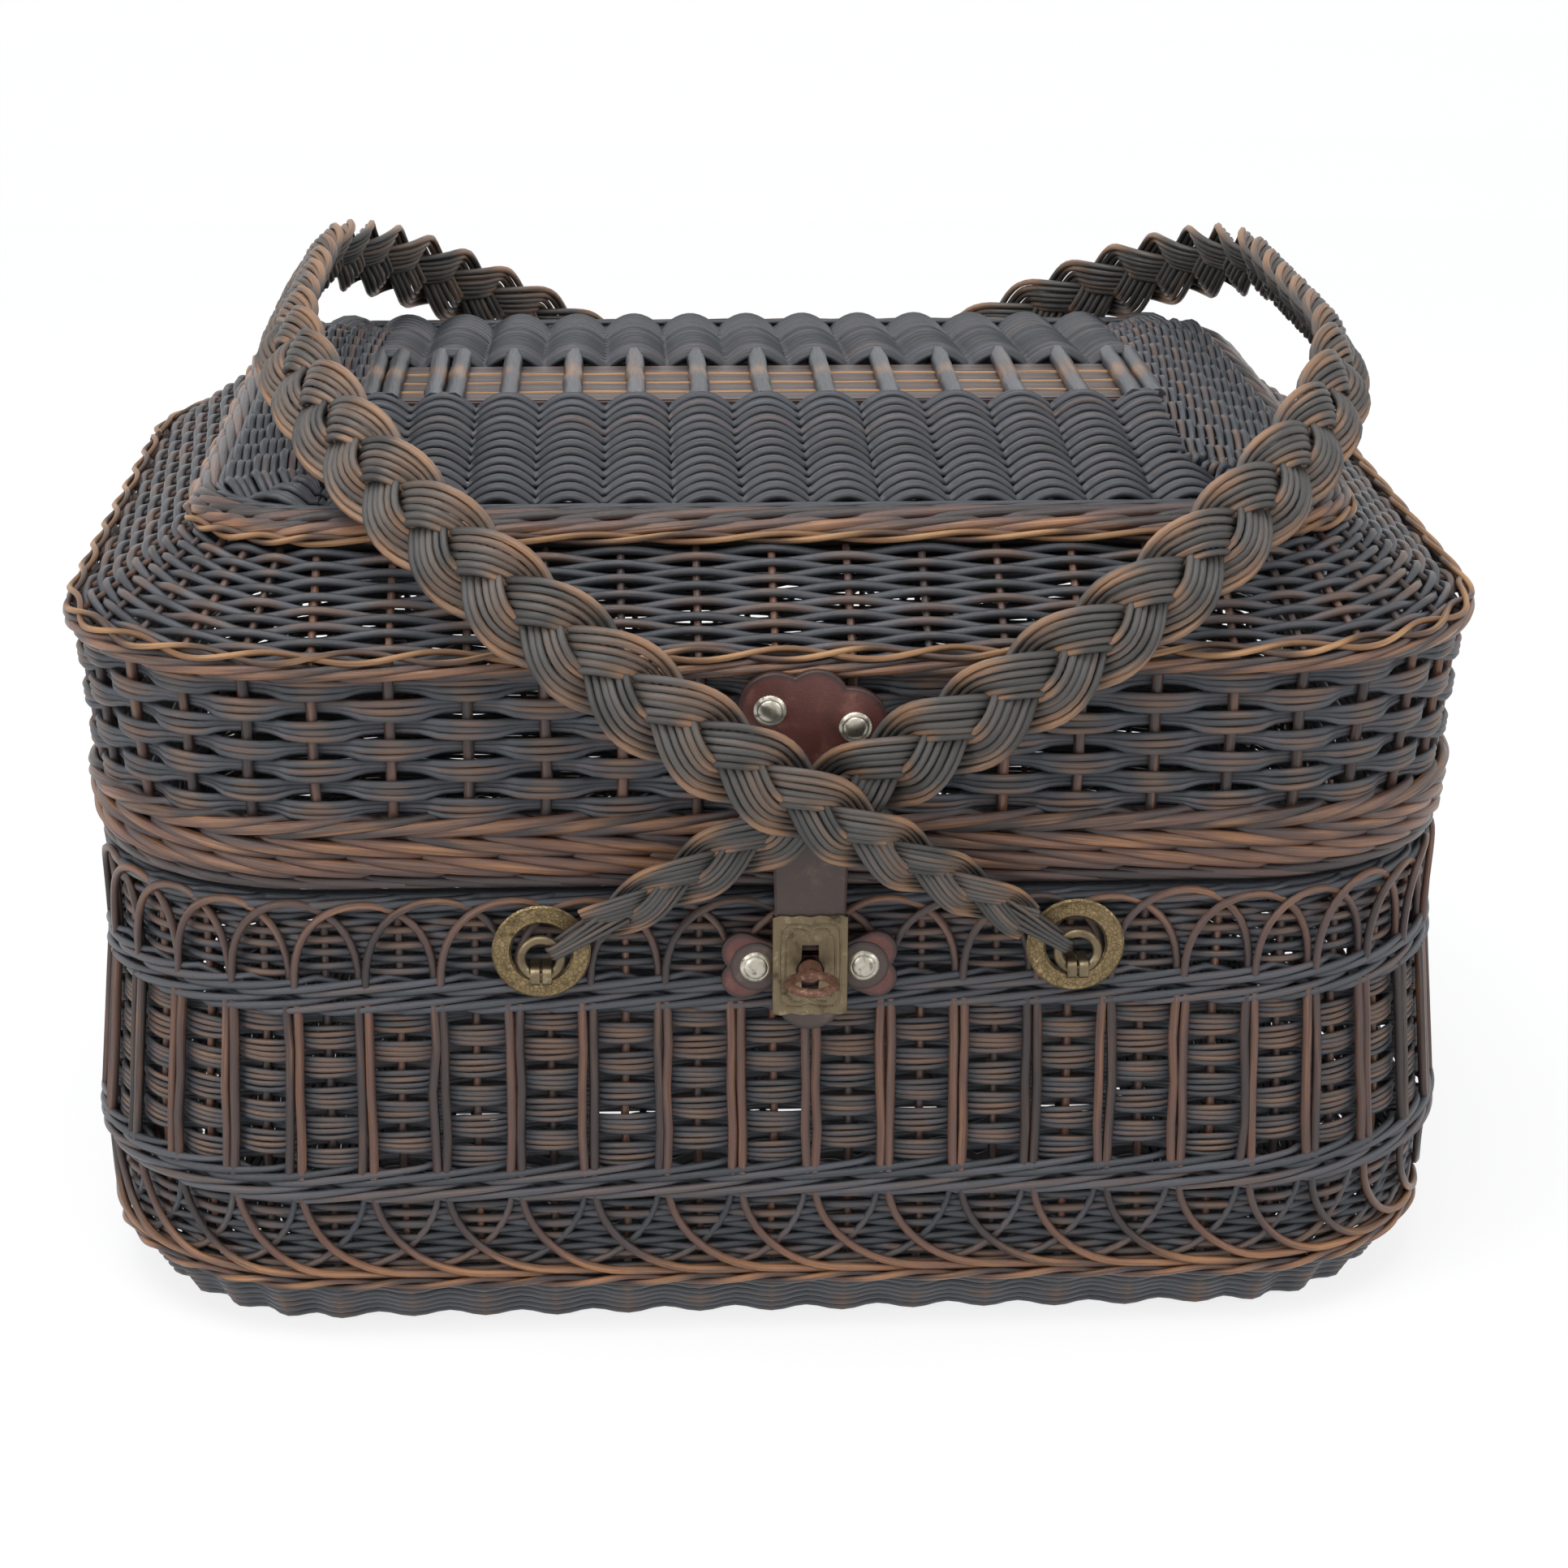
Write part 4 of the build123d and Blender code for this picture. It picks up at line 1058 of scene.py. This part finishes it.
# The hasp: a dark leather strap hangs from the lid's skirt over the border. Its end is cut
# with a keyhole and cased in a brass cover folded round both edges, with a raised frame.
HASP_Y, HASP_Z = 0.18499, 0.1285
strap = bmesh.new()
run = eased([(-0.18536, 0.2), (-0.1861, 0.176), (-0.18625, 0.1575), (-0.18629, 0.15), (-0.18629, 0.1435)])
wide = np.interp(run[:, 1], [0.1435, 0.2], [0.0215, 0.025])
strip(strap, [(OFF, y, z) for y, z in run], wide, LEATHER, side=ALONG_X)
right_side = [(2.5, 6.7), (2.6, 2.1), (4.2, -1.0), (4.2, -3.0), (2.6, -5.5), (2.5, -9.7)]
keyhole = mm((-2.5, 6.7), *right_side, *((-x, y) for x, y in right_side[:0:-1]))
tip = 0.01075
tongue = [(tip * cos(a), -tip + tip * sin(a)) for a in np.linspace(pi, 2 * pi, 17)]
tongue += [(tip, 0.015), (-tip, 0.015)]
hasp_place = facing((OFF, -HASP_Y, HASP_Z), ALONG_X, TO_FRONT)
cut_plate(strap, [tongue, [(x * 1.1, y * 1.06) for x, y in keyhole]], LEATHER, 0.0005, hasp_place, 0.0012)
fixed("hasp_leather", strap, dark_leather, "lid", "hasp_strap")

casing = bmesh.new()
rim = mm((11.4, 15.7), (9.2, 16.5), (5.5, 16.1), (3.0, 16.5), (0, 15.9), (-3.0, 16.5), (-5.5, 16.1), (-9.2, 16.5))
rim += mm((-11.4, 15.7), (-11.4, -15.9), (-9.0, -16.4), (-5.5, -15.7), (-2.6, -16.5), (0, -16.1), (2.6, -16.5))
rim += mm((5.5, -15.7), (9.0, -16.4), (11.4, -15.9))
cut_plate(casing, [rim, keyhole], 0.0008, 0.0002, facing((OFF, -HASP_Y - 0.0027, HASP_Z), ALONG_X, TO_FRONT))
for x in (OFF - 0.01112, OFF + 0.01112):
    folded = [(x, -HASP_Y - 0.0016, HASP_Z + z) for z in (-0.0157, 0.0156)]
    strip(casing, folded, 0.0032, 0.0007, side=(0, 1, 0))
for inset, notch in ((0.0022, 0.0), (0.0038, 0.0016)):
    hx, hz = 0.0115 - inset, 0.0158 - inset
    line = [(0.0, hz - 0.0009 - notch * 0.5), (0.0022, hz), (hx - 0.0022, hz)]
    line += [(hx - 0.0012 - notch * 0.4, hz - 0.001 - notch * 0.4), (hx, hz - 0.0022)]
    line += [(x, -z) for x, z in line[::-1]]
    line += [(-x, z) for x, z in line[::-1]][1:-1]
    frame_line = eased([(OFF + x, -HASP_Y - 0.00355, HASP_Z + z) for x, z in line + line[:1]], 2)
    strip(casing, frame_line[:-1], 0.0006, 0.0006, up=TO_FRONT, closed=True)
fixed("hasp_brass", casing, brass, "lid", "hasp_cover")


# The tab: a three-lobed oxblood leather piece with a pointed tail, riveted to the skirt
# over the upper end of the strap.
TAB_Z, TAB_Y, LEAN_BACK, TILT = 0.209, 0.1882, 0.0937, radians(12)
tab_place = facing((OFF, -TAB_Y, TAB_Z), (cos(TILT), 0, -sin(TILT)), (0, -1, -LEAN_BACK))
tab = bmesh.new()
petals = [(-0.0115, 0.001, 0.011), (0, 0.0055, 0.0098), (0.0115, 0.001, 0.011)]
petals += [(0, -0.006, 0.0095), (0, -0.0125, 0.0058), (0, -0.0155, 0.0034)]
cut_plate(tab, [lobed(petals, 140)], LEATHER, 0.0006, tab_place, 0.0014)
fixed("lobed_tab", tab, oxblood, "lid", "lid_tab")
rivets("tab_rivets", tab_place @ Matrix.Translation((0, 0, 0.0027)), 0.026, "lid", "tab_rivet_caps")


size = {"cad": [list(map(float, v)) for v in cad_box], "visual": [list(map(float, v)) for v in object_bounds()]}
